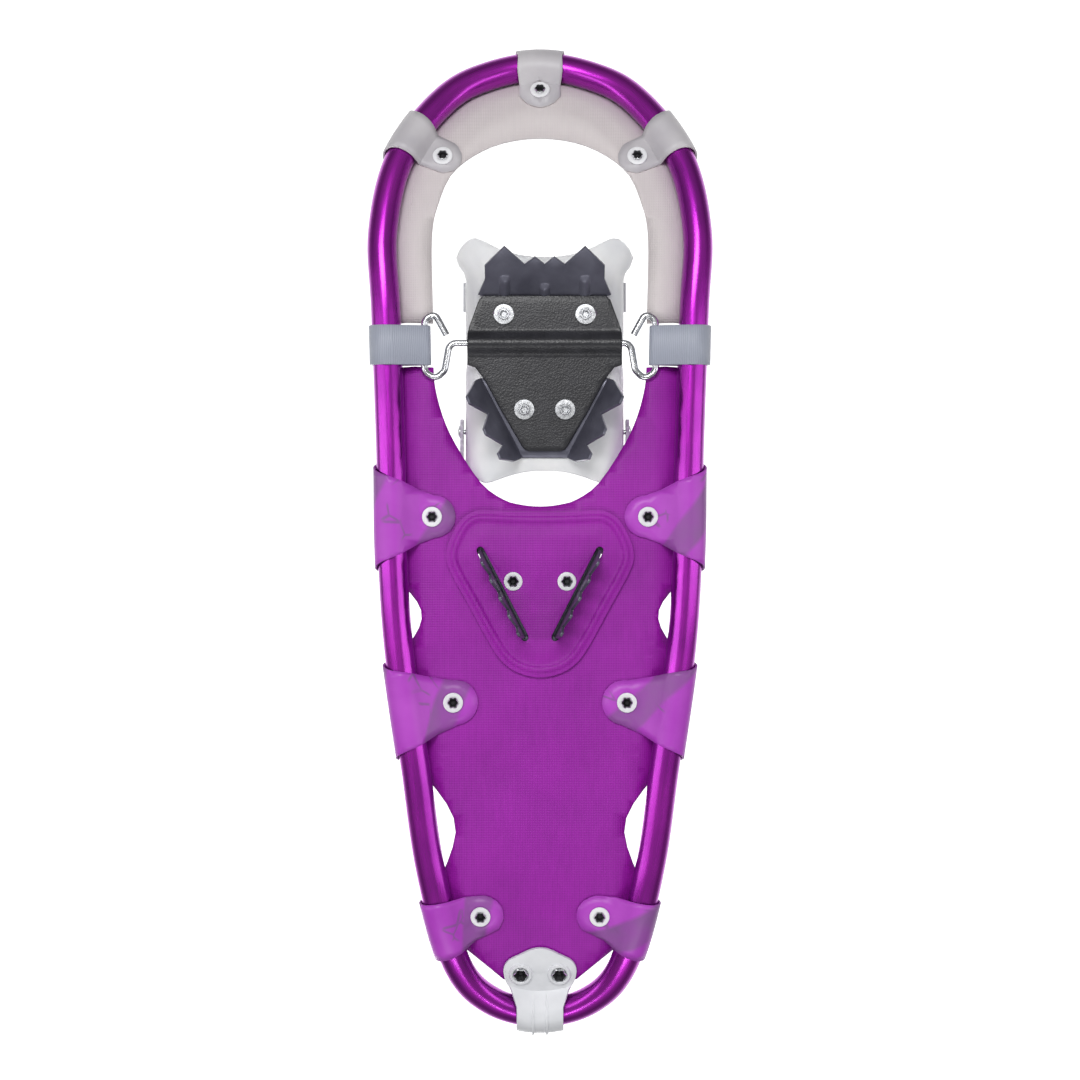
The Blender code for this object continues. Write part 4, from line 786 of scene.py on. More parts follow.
def frameTube():
    path = [(x, v) for x, v in tubeLine]
    path[-1] = (gap, path[-1][1])
    loop = list(reversed(path)) + [(-x, v) for x, v in path[1:]]
    rings = []
    lengths = [0.0]
    for i, (x, v) in enumerate(loop):
        before = np.array(loop[max(i - 1, 0)])
        ahead = np.array(loop[min(i + 1, len(loop) - 1)]) - before
        ahead = ahead / np.linalg.norm(ahead)
        if i:
            lengths.append(lengths[-1] + float(np.linalg.norm(np.array([x, v]) - before)))
        if i in (0, len(loop) - 1):
            ahead = np.array([1.0, 0.0])
        across = np.array([ahead[1], -ahead[0]])
        ring = []
        for k in range(tubeLook["sides"]):
            angle = 2 * math.pi * (k + 0.5) / tubeLook["sides"]
            reach = tubeRadius * math.cos(angle)
            ring.append(rollUp(x + across[0] * reach, v + across[1] * reach, tubeRadius * math.sin(angle)))
        rings.append(ring)
    made = finishObject("frame_tube", skinRings(rings, lengths, 2 * math.pi * tubeRadius), anodised)
    addThickness(made, tubeLook["wall"], -1.0)
    return bake(made)


sleeveLook = {"sides": 10, "air": 0.9, "step": 4.5}


def tubeJointSleeve():
    # plug inside the two tube ends that meet under the tail clip
    path = []
    for k in range(-4, 5):
        foot, _ = lineAt(lineLength[-1] + sleeveLook["step"] * k)
        path.append(rollUp(foot[0], foot[1], 0.0))
    radius = tubeRadius - tubeLook["wall"] - sleeveLook["air"]
    return finishObject("tube_joint_sleeve", sweptRod(path, radius, sleeveLook["sides"]), rivetSteel)


# decks
mainOpening = [(0, 21.5), (12, 22.6), (23.5, 26), (38, 36.8), (54.2, 61.5), (62.4, 79.5), (67.2, 98),
               (68.2, 110.6)]
slotFront = (38.2, -6.6)
slotBack = (9.7, -62.4)
slotHalf = 2.5
heelRivetAt = (17.2, -26.5)


def crescent(wrap, startLength, endLength, inboard, bulge=1.0):
    # concave deck edge between two tabs, deepest this far inboard of the tube's middle line
    edgePath = wrap.toAngle(edgeAngle)
    depthPath = wrap.flatFrom - inboard
    points = []
    for k in range(1, 9):
        share = k / 9
        dimpleWithPaintedShade = math.sin(math.pi * share) ** bulge
        path = edgePath + (depthPath - edgePath) * dimpleWithPaintedShade
        points.append(wrap.pattern(startLength + (endLength - startLength) * share, path))
    return points


def heelSlots():
    return [slot(slotFront, slotBack, slotHalf),
            slot((-slotFront[0], slotFront[1]), (-slotBack[0], slotBack[1]), slotHalf)]


def ringsRound(loops):
    # guide points round small holes, so the curled sheet stays smooth there
    found = []
    for loop in loops:
        x = sum(point[0] for point in loop) / len(loop)
        v = sum(point[1] for point in loop) / len(loop)
        found += circle(x, v, 5.5, 14) + circle(x, v, 9.0, 14)
    return found


def mainDeck():
    wrap = mainWrap
    edgePath = wrap.toAngle(edgeAngle)
    half = smoothThrough(mainOpening, 3)
    front = lengthAt(mainOpening[-1][1])
    half += [wrap.pattern(front, path) for path in (0, wrap.topRun)]
    tabs = [tabOutline(wrap, deckTabs[name]) for name in ("front", "middle", "rear")]
    armEnd = tabs[0][1] - tabs[0][2] - 6
    half += [wrap.pattern(front + (armEnd - front) * k / 3, edgePath) for k in range(4)]
    half += tabs[0][0]
    half += crescent(wrap, tabs[0][1] + tabs[0][2], tabs[1][1] - tabs[1][2], 16.5)
    half += tabs[1][0]
    half += crescent(wrap, tabs[1][1] + tabs[1][2], tabs[2][1] - tabs[2][2], 20.3, 1.2)
    half += tabs[2][0]
    half += [(54.0, -268.0), (47.5, -268.0), (23.6, -287.6), (19.0, -288.5), (0, -288.5)]
    holes = heelSlots() + pairHoles((heelRivetAt, tailRivetAt))
    inner = []
    for tab in deckTabs.values():
        holes += rivetHoles(wrap, tab, 1) + rivetHoles(wrap, tab, -1)
        inner += tabGuides(wrap, tab) + flip(tabGuides(wrap, tab))
    inner += ringsRound(holes[2:])
    for row in (0, wrap.topRun, wrap.toAngle(78), wrap.toAngle(88)):
        points = [wrap.pattern(front + 7 * k, row) for k in range(1, 58)]
        inner += points + flip(points)
    inner += [(x, v) for v in range(-282, 106, 9) for x in range(-72, 73, 9)]
    builder = cutSheet(mirrored(half), holes, inner, wrap.lay)
    made = finishObject("main_deck", builder, [deckTop, deckUnder, deckEdge], 60.0, True)
    addThickness(made, deckThick)
    bake(made)
    return made


toeOpening = [(0, 266.1), (23.5, 262.6), (43.2, 252.6), (57.9, 237.9), (65.9, 216.4), (68.8, 202.7),
              (69.5, 185.4), (68.9, 160), (68.4, 138.6)]


def toeDeck():
    wrap = toeWrap
    edgePath = wrap.toAngle(edgeAngle)
    half = smoothThrough(toeOpening, 3)
    front = lengthAt(toeOpening[-1][1])
    half += [wrap.pattern(front, path) for path in (0, wrap.topRun)]
    sideLoop, sideCentre, sideHalf = tabOutline(wrap, toeTabs["side"])
    noseLoop, _, noseHalf = tabOutline(wrap, toeTabs["nose"])
    half += [wrap.pattern(front + (sideCentre + sideHalf - front) * k / 7, edgePath) for k in range(7)]
    half += list(reversed(sideLoop))
    start = sideCentre - sideHalf
    half += [wrap.pattern(start + (noseHalf - start) * k / 3, edgePath) for k in range(1, 3)]
    half += [point for point in reversed(noseLoop) if point[0] > 0.01]
    half.append((0.0, wrap.pattern(0, wrap.back(toeTabs["nose"][1] + 1.5) + toeTabs["nose"][3])[1]))
    holes = rivetHoles(wrap, toeTabs["nose"])
    holes += rivetHoles(wrap, toeTabs["side"]) + rivetHoles(wrap, toeTabs["side"], -1)
    inner = ringsRound(holes) + tabGuides(wrap, toeTabs["nose"])
    inner += tabGuides(wrap, toeTabs["side"]) + flip(tabGuides(wrap, toeTabs["side"]))
    for row in (-18, -9, 0, wrap.topRun, wrap.toAngle(78), wrap.toAngle(88)):
        points = [wrap.pattern(front * k / 36, row) for k in range(1, 36)]
        inner += points + flip(points) + [wrap.pattern(0, row)]
    builder = cutSheet(mirrored(half), holes, inner, wrap.lay)
    made = finishObject("toe_deck", builder, [toeTop, toeUnder, toeEdge], 60.0, True)
    addThickness(made, deckThick)
    bake(made)
    return made


# rivets and washers
washerLook = {"sides": 40, "thick": 1.0}


def washer(name, outer, matrix):
    # flat ring with rounded rims
    inner = holeRadius
    thick = washerLook["thick"]
    profile = [(inner, 0), (inner, -thick + 0.15), (inner + 0.15, -thick), (outer - 0.35, -thick),
               (outer - 0.08, -thick + 0.12), (outer, -thick + 0.35), (outer, 0)]
    return finishObject(name, turned(profile, washerLook["sides"], matrix), washerWhite, 50.0)


rivetLook = {"sides": 36, "plainSides": 32, "petals": 0.10}


def rivet(name, top, bottom, matrix, headRadius=5.0, footRadius=3.4, footThick=0.9):
    # domed head above, shank through the stack, petalled foot below with its hollow painted near-black as shade
    profile = [(0, top + 1.9), (headRadius * 0.35, top + 1.82), (headRadius * 0.7, top + 1.45),
               (headRadius * 0.93, top + 0.75), (headRadius, top + 0.2), (headRadius, top),
               (rivetShank, top), (rivetShank, bottom), (footRadius, bottom),
               (footRadius, bottom - footThick * 0.5, 1), (footRadius * 0.86, bottom - footThick, 1),
               (footRadius * 0.66, bottom - footThick * 0.8, 1),
               (footRadius * 0.55, bottom - footThick * 0.3, 1),
               (1.5, bottom + 0.6), (1.3, bottom + 1.5), (0, bottom + 1.6)]
    spun = turned(profile, rivetLook["sides"], matrix, rivetLook["petals"])
    made = finishObject(name, spun, [rivetSteel, hollowPaintedShade])
    # everything inside the rim of the hollow gets the near-black finish: painted shade in the hollow
    back = matrix.inverted()
    for face in made.data.polygons:
        place = back @ (face.center * 1000)
        away = math.hypot(place.x, place.y)
        if bottom - footThick < place.z < bottom + 2 and away < footRadius * 0.9:
            inward = (back.to_3x3() @ face.normal).dot(Vector((place.x, place.y, 0)))
            if inward < 0.02 or place.z > bottom:
                face.material_index = 1
    return made


washerTop = tabLevel - deckThick / 2 - gap


def tabFasteners(names, tab, side):
    foot, inward = lineAt(lengthAt(tab[0]))
    x, v = foot + inward * tab[1]
    matrix = rollMatrix(side * x, v, 0.0)
    rivet(names[0], deckLevel + deckThick / 2 + gap, washerTop - washerLook["thick"] - gap, matrix)
    washer(names[1], 6.4, matrix @ Matrix.Translation((0, 0, washerTop)))


# tail clip
tailRivetAt = (12.4, -281.5)
clipThick = 2.4
clipReach = deckThick / 2 + gap + clipThick / 2 + 0.4
clipWrap = Wrap(tubeRadius + 1.3 + clipThick / 2, 17.5, deckLevel + clipReach, deckLevel - clipReach)
clipRows = 22


def tubeV(x):
    # where the tail bend of the tube's middle line crosses this x
    tail = tubeLine[len(tubeLine) * 3 // 4:][::-1]
    return float(np.interp(abs(x), tail[:, 0], tail[:, 1]))


def layClip(x, path):
    away, height = clipWrap.profile(path)
    return rollUp(x, tubeV(x) + away, height)


clipHead = [(0, -263.0), (6, -264.2), (12.5, -267.5), (20.2, -271.8), (23.2, -276.7), (23.3, -281.9),
            (21.8, -287.7), (18.6, -294.0)]


def clipTopPath(x, v):
    return clipWrap.flatFrom - (v - tubeV(x))


def clipLowPath(x, v):
    return clipWrap.back(v - tubeV(x))


def clipPattern():
    # half outline of the clip's flat pattern as (across, path): upper plate, neck, lower plate
    head = smoothThrough(clipHead, 4)
    top = [(x, clipTopPath(x, v - 2)) for x, v in head]
    low = [(x, clipLowPath(x, v)) for x, v in reversed(head)]
    neck = [(15.0, row) for row in clipWrap.rows(clipRows)[1:-1]]
    return top + neck + low


clipLook = {"bossRadius": 7.3, "bossHeight": 1.5, "ribX": 4.5, "ribWide": 2.4, "ribHigh": 1.7, "ribSteps": 24}


def clipRib(x):
    # tapered rib on the clip's outer face, from the lower plate round the outside of the tube
    start = clipWrap.back(15.0)
    stop = clipWrap.toAngle(165)
    rings = []
    steps = clipLook["ribSteps"]
    for k in range(steps + 1):
        share = k / steps
        path = start + (stop - start) * share
        here = Vector(layClip(x, path))
        ahead = (Vector(layClip(x, path - 0.5)) - here).normalized()
        out = ahead.cross(Vector((1, 0, 0)))
        if out.z > 0 and share < 0.3:
            out = -out
        if k and out.dot(lastOut) < 0:
            out = -out
        lastOut = out
        foot = here + out * (clipThick / 2 - 0.3)
        high = clipLook["ribHigh"] * min(1.0, 0.15 + 1.6 * share)
        wide = clipLook["ribWide"] / 2 * (0.55 + 0.45 * share)
        rings.append([foot + Vector((-wide, 0, 0)), foot + Vector((-wide * 0.6, 0, 0)) + out * high,
                      foot + Vector((wide * 0.6, 0, 0)) + out * high, foot + Vector((wide, 0, 0))])
    return finishObject("clipRib", skinRings(rings, list(range(steps + 1)), 4.0, True), clipGrey)


def tailClip():
    holes = []
    extras = [clipRib(clipLook["ribX"]), clipRib(-clipLook["ribX"])]
    rim = circle(tailRivetAt[0], tailRivetAt[1], holeRadius, 20)
    low = deckLevel - clipReach - clipThick / 2
    wide = clipLook["bossRadius"]
    drop = clipLook["bossHeight"]
    ring = [(5.2, low + 0.4), (wide + 0.5, low + 0.2), (wide, low - drop * 0.7), (wide - 0.5, low - drop),
            (5.7, low - drop), (5.2, low - drop * 0.7)]
    for side in (1, -1):
        holes.append([(side * x, clipTopPath(x, v)) for x, v in rim])
        holes.append([(side * x, clipLowPath(x, v)) for x, v in rim])
        place = rollMatrix(side * tailRivetAt[0], tailRivetAt[1], 0)
        extras.append(finishObject("clipBoss", turned(ring, 48, place), clipGrey))
    inner = []
    for path in clipWrap.rows(clipRows):
        inner += [(x, path) for x in range(-20, 21, 2)]
    made = finishObject("tail_clip", cutSheet(mirrored(clipPattern()), holes, inner, layClip), clipGrey)
    addThickness(made, clipThick)
    soften(made, 0.5)
    return bake(made, extras)


# heel pad and heel spikes
padThick = 2.4
padLevel = deckLevel - deckThick / 2 - gap - padThick / 2
padHalf = [(0, 17.8), (20, 18.2), (35, 19.0), (43, 18.0), (50.5, 13.0), (56.5, 3), (60.0, -8), (58.0, -19),
            (45, -43), (29.5, -71), (20, -81.6), (10, -86.4), (0, -88)]
heelLevel = deckLevel + deckThick / 2 + gap + steel / 2


heelPadLook = {"ridgeIn": 4.8, "ridgeWide": 1.5, "ridgeHigh": 1.3, "plateau": 1.0, "grid": 3,
               "rings": (1.2, 2.4, 3.3, 4.1, 4.8, 5.5, 6.3, 7.2, 8.6)}


def heelPad():
    outline = mirrored(smoothThrough(padHalf, 5))
    holes = heelSlots() + pairHoles((heelRivetAt,))
    grid = heelPadLook["grid"]
    inner = [(x, v) for x in range(-60, 61, grid) for v in range(-88, 20, grid)]
    line = np.array(outline)
    ahead = np.roll(line, -1, axis=0) - np.roll(line, 1, axis=0)
    toMiddle = np.stack([ahead[:, 1], -ahead[:, 0]], axis=1) / np.linalg.norm(ahead, axis=1)[:, None]
    inner = [point for point in inner if edgeDistance(point, outline) > 10]
    for distance in heelPadLook["rings"]:
        inner += [tuple(point) for point in line + toMiddle * distance]

    def lay(x, v):
        away = edgeDistance((x, v), outline)
        offRidge = (away - heelPadLook["ridgeIn"]) / heelPadLook["ridgeWide"]
        ridge = heelPadLook["ridgeHigh"] * math.exp(-offRidge ** 2)
        rise = min(1.0, max(0.0, (away - 8) / 8))
        nearRivet = sum(math.exp(-((x - s * heelRivetAt[0]) ** 2 + (v - heelRivetAt[1]) ** 2) / 90)
                        for s in (1, -1))
        valley = math.exp(-(x / 8) ** 2 - ((v + 38) / 15) ** 2)
        plateau = heelPadLook["plateau"] * rise * rise * (3 - 2 * rise) * max(0.0, 1 - nearRivet) * (1 - valley)
        return rollUp(x, v, padLevel - ridge - plateau)

    made = finishObject("heel_pad", cutSheet(outline, holes, inner, lay), deckUnder, 70.0)
    addThickness(made, padThick)
    soften(made, 0.5)
    return bake(made)


def foldDown(along, depth, start, end, level, turn, side=1):
    # a point of a blade that folds down along the line start-end, depth measured from the fold
    a = Vector(start)
    line = Vector(end) - a
    length = line.length
    line.normalize()
    outward = Vector((-line.y, line.x))
    if outward.x < 0:
        outward = -outward
    point = a + line * (along * length) + outward * (depth * math.cos(turn))
    return rollUp(side * point.x, point.y, level - depth * math.sin(turn))


def bladeStrip(builder, teeth, start, end, level, turn, side):
    # toothed blade as a row of quads from the fold line down to the teeth
    top = [builder.verts.new(foldDown(along, 0, start, end, level, turn, side)) for along, _ in teeth]
    low = [builder.verts.new(foldDown(along, depth, start, end, level, turn, side)) for along, depth in teeth]
    for k in range(len(teeth) - 1):
        builder.faces.new([top[k], top[k + 1], low[k + 1], low[k]])
    return top


def fillBetween(builder, loops):
    # flat plate between vertex loops, the later ones being holes; blades may already share its edges
    edges = []
    for loop in loops:
        for a, b in zip(loop, loop[1:] + loop[:1]):
            edges.append(builder.edges.get((a, b)) or builder.edges.new((a, b)))
    bmesh.ops.triangle_fill(builder, edges=edges, use_beauty=True, normal=(0, 0, 1))


heelLook = {"bladeTurn": 86, "teeth": 5, "capWide": 3.6, "capLong": 4.6}


def heelTeeth():
    # full depth teeth along each heel blade as (share of length, depth)
    deepest = heelLevel + groundToTube - 0.1
    teeth = [(0.0, 9.0)]
    count = heelLook["teeth"]
    for k in range(count):
        start = k / count
        teeth += [(start + 0.07, 18.0 if k else 16.0), (start + 0.11, deepest), (start + 0.15, deepest)]
    teeth.append((1.0, 12.0))
    return teeth


def heelCap(side, end, other):
    # small foot of the plate that covers the open end of a slot
    a = Vector(end)
    out = (a - Vector(other)).normalized()
    across = Vector((-out.y, out.x))
    wide = heelLook["capWide"]
    corners = [a - out * 1.5 - across * wide, a - out * 1.5 + across * wide, a + out * 3.6 + across * wide,
               a + out * heelLook["capLong"] + across * 2.4, a + out * heelLook["capLong"] - across * 2.4,
               a + out * 3.6 - across * wide]
    cap = bmesh.new()
    cap.faces.new([cap.verts.new(rollUp(side * c.x, c.y, heelLevel)) for c in corners])
    made = finishObject("heelCap", cap, spikeSteel)
    addThickness(made, steel)
    soften(made, 0.3)
    return bake(made)


def heelCrampon():
    builder = bmesh.new()
    turn = math.radians(heelLook["bladeTurn"])
    sides = [bladeStrip(builder, heelTeeth(), slotFront, slotBack, heelLevel, turn, side) for side in (1, -1)]
    holes = [[builder.verts.new(rollUp(x, v, heelLevel)) for x, v in hole]
             for hole in pairHoles((heelRivetAt,))]
    fillBetween(builder, [sides[0] + list(reversed(sides[1]))] + holes)
    made = finishObject("heel_crampon", builder, spikeSteel)
    addThickness(made, steel)
    soften(made, 0.35)
    ends = ((slotFront, slotBack), (slotBack, slotFront))
    return bake(made, [heelCap(side, end, other) for side in (1, -1) for end, other in ends])


def heelFasteners(side, label):
    matrix = rollMatrix(side * heelRivetAt[0], heelRivetAt[1], 0.0)
    low = padLevel - padThick / 2 - gap
    rivet("heel_rivet_" + label, heelLevel + steel / 2 + gap, low - washerLook["thick"] - gap, matrix)
    washer("heel_washer_" + label, 6.0, matrix @ Matrix.Translation((0, 0, low)))


def tailRivet(side, label):
    matrix = rollMatrix(side * tailRivetAt[0], tailRivetAt[1], 0.0)
    reach = clipReach + clipThick / 2 + gap + 0.1
    rivet("tail_rivet_" + label, deckLevel + reach, deckLevel - reach, matrix, 5.0, 4.6, 1.6)


# cross straps and the rod between them
legX = 74.0                # upright leg of the rod's ring
strapLook = {"at": 124.5, "turns": 40, "edgeRound": 0.45, "air": 0.4, "skew": 0.024}


def beltPath(foot, big, small, lean):
    # places along the belt as (kind, value): round the tube, out to the ring, round it and back
    turns = strapLook["turns"]
    places = [("tube", -math.pi / 2 - lean + (math.pi + 2 * lean) * k / turns) for k in range(turns + 1)]
    places += [("run", k / 8) for k in range(1, 8)]
    places += [("ring", math.pi / 2 + lean + (math.pi - 2 * lean) * k / 16) for k in range(17)]
    places += [("back", k / 8) for k in range(1, 9)]

    def belt(place, extra):
        kind, value = place
        ends = [(foot + (big + extra) * math.cos(a), (big + extra) * math.sin(a))
                for a in (math.pi / 2 + lean, -math.pi / 2 - lean)]
        legs = [(legX + (small + extra) * math.cos(a), (small + extra) * math.sin(a))
                for a in (math.pi / 2 + lean, 3 * math.pi / 2 - lean)]
        if kind == "tube":
            return foot + (big + extra) * math.cos(value), (big + extra) * math.sin(value)
        if kind == "ring":
            return legX + (small + extra) * math.cos(value), (small + extra) * math.sin(value)
        first, last = (ends[0], legs[0]) if kind == "run" else (legs[1], ends[1])
        return first[0] + (last[0] - first[0]) * value, first[1] + (last[1] - first[1]) * value

    return places, belt


def crossStrap(side, label):
    # flat webbing run as a belt round the tube and the upright leg of the rod's ring
    middle = strapLook["at"]
    foot = lineAt(lengthAt(middle))[0][0]
    big = tubeRadius + strapLook["air"]
    small = rodRadius + strapLook["air"]
    places, belt = beltPath(foot, big, small, math.asin((big - small) / (foot - legX)))
    low = middle - strapWide / 2
    high = middle + strapWide / 2
    edge = strapLook["edgeRound"]
    section = ((low, edge), (low + edge, 0.0), (high - edge, 0.0), (high, edge), (high, strapThick - edge),
               (high - edge, strapThick), (low + edge, strapThick), (low, strapThick - edge))
    rings = []
    lengths = [0.0]
    for place in places:
        ring = []
        for v, extra in section:
            x, n = belt(place, extra)
            ring.append(Vector(rollUp(side * (x + (v - middle) * strapLook["skew"]), v, n)))
        rings.append(ring)
        if len(rings) > 1:
            lengths.append(lengths[-1] + (rings[-1][6] - rings[-2][6]).length)
    builder = bmesh.new()
    layer = builder.loops.layers.uv.new("flat")
    made = [[builder.verts.new(point) for point in ring] for ring in rings[:-1]]
    made.append(made[0])
    acrossAt = [0, 0.5, strapWide - 0.5, strapWide, strapWide, strapWide - 0.5, 0.5, 0]
    for i in range(len(made) - 1):
        for k in range(8):
            j = (k + 1) % 8
            fresh = builder.faces.new([made[i][k], made[i][j], made[i + 1][j], made[i + 1][k]])
            for loop, (u, w) in zip(fresh.loops, ((k, i), (j, i), (j, i + 1), (k, i + 1))):
                loop[layer].uv = (lengths[w], acrossAt[u])
    return finishObject("cross_strap_" + label, builder, webbing, 50.0)


axleLook = {"bend": 5.2, "bendSteps": 10, "sides": 24}


def pivotAxle():
    # one rod: straight across under the boot, each end bent into a triangular ring
    half = [(59.8, 131.0), (67.4, 145.0), (legX, 141.0), (legX, 107.5), (66.8, 103.0), (61.0, 108.5),
            (58.0, axleV), (0, axleV)]
    corners = [(x, v, 0) for x, v in half[:-1]] + [(-x, v, 0) for x, v in reversed(half[:-1])]
    path = [rollUp(*point) for point in roundedPath(corners, axleLook["bend"], axleLook["bendSteps"])]
    return finishObject("pivot_axle", sweptRod(path, rodRadius, axleLook["sides"]), zinc)


# hinged binding
frontRivet = (26.15, 144.5)
rearRivet = (13.1, 83.5)


def bindingPoint(x, v, n):
    return rollUp(x + bindingX, v, n)


plateLook = {"rollReach": 9.0, "rollDeep": 4.3, "rows": 30, "across": 4}


def plateHeight(v):
    # the hinge plate dips under the rod in a soft roll
    away = abs(v - axleV) / plateLook["rollReach"]
    if away >= 1:
        return plateLevel
    return plateLevel - plateLook["rollDeep"] * math.cos(away * math.pi / 2) ** 2


def hingePlate():
    half = [(0, 156.6), (39.0, 156.6), (42.0, 154.0), (48.6, 136.0)]
    half += [(hingeWide, axleV + dv) for dv in (6, 4.5, 3, 1.5, 0, -1.5, -3, -4.5, -6, -7.5, -9, -14)]
    half += [(44.6, 110.4), (38.0, 102.0), (28.5, 84.0), (15.2, 61.2), (13.0, 58.2), (10.0, 56.8), (0, 56.8)]
    holes = pairHoles((frontRivet, rearRivet))
    step = plateLook["across"]
    inner = [(x, axleV - 12 + 0.8 * k) for k in range(plateLook["rows"]) for x in range(-48, 49, step)]
    inner += [(x, v) for v in range(60, 156, 4) for x in range(-48, 49, step)]
    builder = cutSheet(mirrored(half), holes, inner, lambda x, v: bindingPoint(x, v, plateHeight(v)))
    made = finishObject("hinge_plate", builder, blackPlate, 50.0)
    addThickness(made, plateThick)
    soften(made, 0.5)
    return bake(made)


toeFoldV = 157.0
toeSlope = math.radians(50)
crampLook = {"ribs": ((-25.6, 17.0), (0.0, 10.5), (25.6, 17.0)), "ribHalf": 3.2, "ribHigh": 2.2}


def toeCrampon():
    # flat under the boot, then folded forward and down; teeth along the free edge, pressed ribs over the fold
    deepest = (spikeLevel + groundToTube) / math.sin(toeSlope) - 1.3
    half = [(0, toeFoldV + deepest - 13.6), (6.2, toeFoldV + deepest - 7.8),
            (12.8, toeFoldV + deepest - 13.6), (25.6, toeFoldV + deepest),
            (38.2, toeFoldV + deepest - 14.4), (38.1, toeFoldV + deepest - 25.0),
            (42.6, toeFoldV + 1.0), (40.0, toeFoldV), (40.0, 135.5), (0, 135.5)]
    holes = pairHoles((frontRivet,))
    inner = [(x, toeFoldV + dv) for dv in (0, 0.8, 1.6, 2.4) for x in range(-38, 39, 2)]
    for ribX, ribLength in crampLook["ribs"]:
        inner += [(ribX + 0.6 * k, toeFoldV + 1.2 * j) for k in range(-7, 8) for j in range(2, 17)]

    def lay(x, v):
        past = max(0.0, v - toeFoldV)
        turn = toeSlope * min(1.0, past / 2.0)
        press = 0.0
        for ribX, ribLength in crampLook["ribs"]:
            side = max(0.0, 1 - (abs(x - ribX) / crampLook["ribHalf"]) ** 2)
            end = min(1.0, max(0.0, (ribLength - past) / 3.0)) * min(1.0, past / 1.5)
            press = max(press, crampLook["ribHigh"] * side * end)
        return bindingPoint(x, v - past + past * math.cos(toeSlope) - press * math.sin(turn),
                            spikeLevel - past * math.sin(toeSlope) - press * math.cos(turn))

    made = finishObject("toe_crampon", cutSheet(mirrored(half), holes, inner, lay), spikeSteel, 30.0)
    addThickness(made, steel)
    soften(made, 0.35)
    return bake(made)


rearLook = {"foldFront": (41.5, 103.5), "foldBack": (14.5, 52.5), "bladeTurn": 66}


def rearCrampon():
    turn = math.radians(rearLook["bladeTurn"])
    deepest = (spikeLevel + groundToTube - 0.35) / math.sin(turn)
    teeth = [(0.0, 8.0), (0.13, deepest - 1), (0.22, deepest), (0.40, 15.0), (0.53, deepest - 1),
             (0.60, deepest), (0.78, 17.0), (0.84, deepest - 3), (0.91, deepest - 2), (1.0, 14.0)]
    builder = bmesh.new()
    sides = []
    for side in (1, -1):
        front, back = [(x + side * bindingX, v) for x, v in (rearLook["foldFront"], rearLook["foldBack"])]
        sides.append(bladeStrip(builder, teeth, front, back, spikeLevel, turn, side))
    holes = [[builder.verts.new(bindingPoint(x, v, spikeLevel)) for x, v in hole]
             for hole in pairHoles((rearRivet,))]
    fillBetween(builder, [sides[0] + list(reversed(sides[1]))] + holes)
    made = finishObject("rear_crampon", builder, spikeSteel)
    addThickness(made, steel)
    soften(made, 0.35)
    return bake(made)


def cramponRivet(name, x, v):
    # steel washer and hollow rivet below, flat head above
    matrix = rollMatrix(x + bindingX, v, 0.0)
    top = cradleLevel + cradleThick / 2 + gap
    bottom = plateLevel - plateThick / 2 - gap
    profile = [(0, top + 1.3), (3.6, top + 1.25), (4.4, top + 0.9), (4.6, top), (rivetShank, top),
               (rivetShank, bottom), (6.3, bottom), (6.6, bottom - 0.25), (6.6, bottom - 0.7),
               (6.3, bottom - 0.95),
               (4.3, bottom - 1.0), (4.1, bottom - 0.8), (3.7, bottom - 0.8), (3.6, bottom - 1.5),
               (3.2, bottom - 1.9), (2.5, bottom - 1.9, 1), (2.0, bottom - 1.4, 1), (1.7, bottom + 0.3, 1),
               (1.6, bottom + 0.8), (0, bottom + 0.8)]
    return finishObject(name, turned(profile, rivetLook["sides"], matrix, rivetLook["petals"]), rivetSteel)


def bootSection(across, v, offset=0.0):
    # point on the boot shape's cross-section at this v; across runs from the sole's middle line
    # round the corner and up the side, offset is outward
    side = 1.0 if across >= 0 else -1.0
    q = abs(across)
    share = min(1.0, max(0.0, (toeStrapV - v) / (toeStrapV - instepStrapV)))
    height = toeHeight + (instepHeight - toeHeight) * share
    corner = soleCorner * math.pi / 2
    wide = soleHalf + soleCorner
    base = cradleLevel + soleCorner
    if q <= soleHalf:
        return (side * q, v, cradleLevel - offset)
    if q <= soleHalf + corner:
        angle = (q - soleHalf) / soleCorner
        reach = soleCorner + offset
        return (side * (soleHalf + reach * math.sin(angle)), v, base - reach * math.cos(angle))
    angle = bootAngle(q - soleHalf - corner, wide, height)
    return archPoint(angle, v, offset, wide, height, base, side)


def bootAngle(run, wide, height):
    # angle reached after this length up the side of the arch
    angle = 0.0
    step = 0.004
    while run > 0:
        run -= step * math.hypot(wide * math.sin(angle), height * math.cos(angle))
        angle += step
    return angle


def archPoint(angle, v, offset, wide, height, base, side=1.0):
    normal = Vector((math.cos(angle) / wide, math.sin(angle) / height)).normalized()
    return (side * (wide * math.cos(angle) + normal.x * offset), v,
            base + height * math.sin(angle) + normal.y * offset)


cradleHalf = [(0, 182.5), (14, 184), (26, 188.5), (36, 194.5), (42, 195.5), (50, 190), (62, 181), (80, 172),
              (94, 167.5), (98, 164), (98, 152), (94, 147.5), (72, 140), (58, 131), (54, 122), (55, 112),
              (62, 104), (80, 101.5), (98, 98), (110, 96), (114, 92), (114, 78), (110, 73.5), (82, 62),
              (66, 54), (50, 45), (42, 38), (36, 36.5), (26, 40), (13, 43.5), (0, 44.3)]


def bootRun(angle, wide, height):
    # length up the side of the arch to this angle
    steps = 40
    return sum(angle / steps * math.hypot(wide * math.sin(angle * (k + 0.5) / steps),
                                          height * math.cos(angle * (k + 0.5) / steps)) for k in range(steps))


strapAnchors = {"toe": (toeStrapV, toeHeight, math.radians(27)),
                "instep": (instepStrapV, instepHeight, math.radians(32))}


def anchorAcross(label):
    v, height, angle = strapAnchors[label]
    return soleHalf + soleCorner * math.pi / 2 + bootRun(angle, soleHalf + soleCorner, height)


heelPivotAcross = soleHalf + soleCorner * math.pi / 2 + heelPivotN - cradleLevel - soleCorner


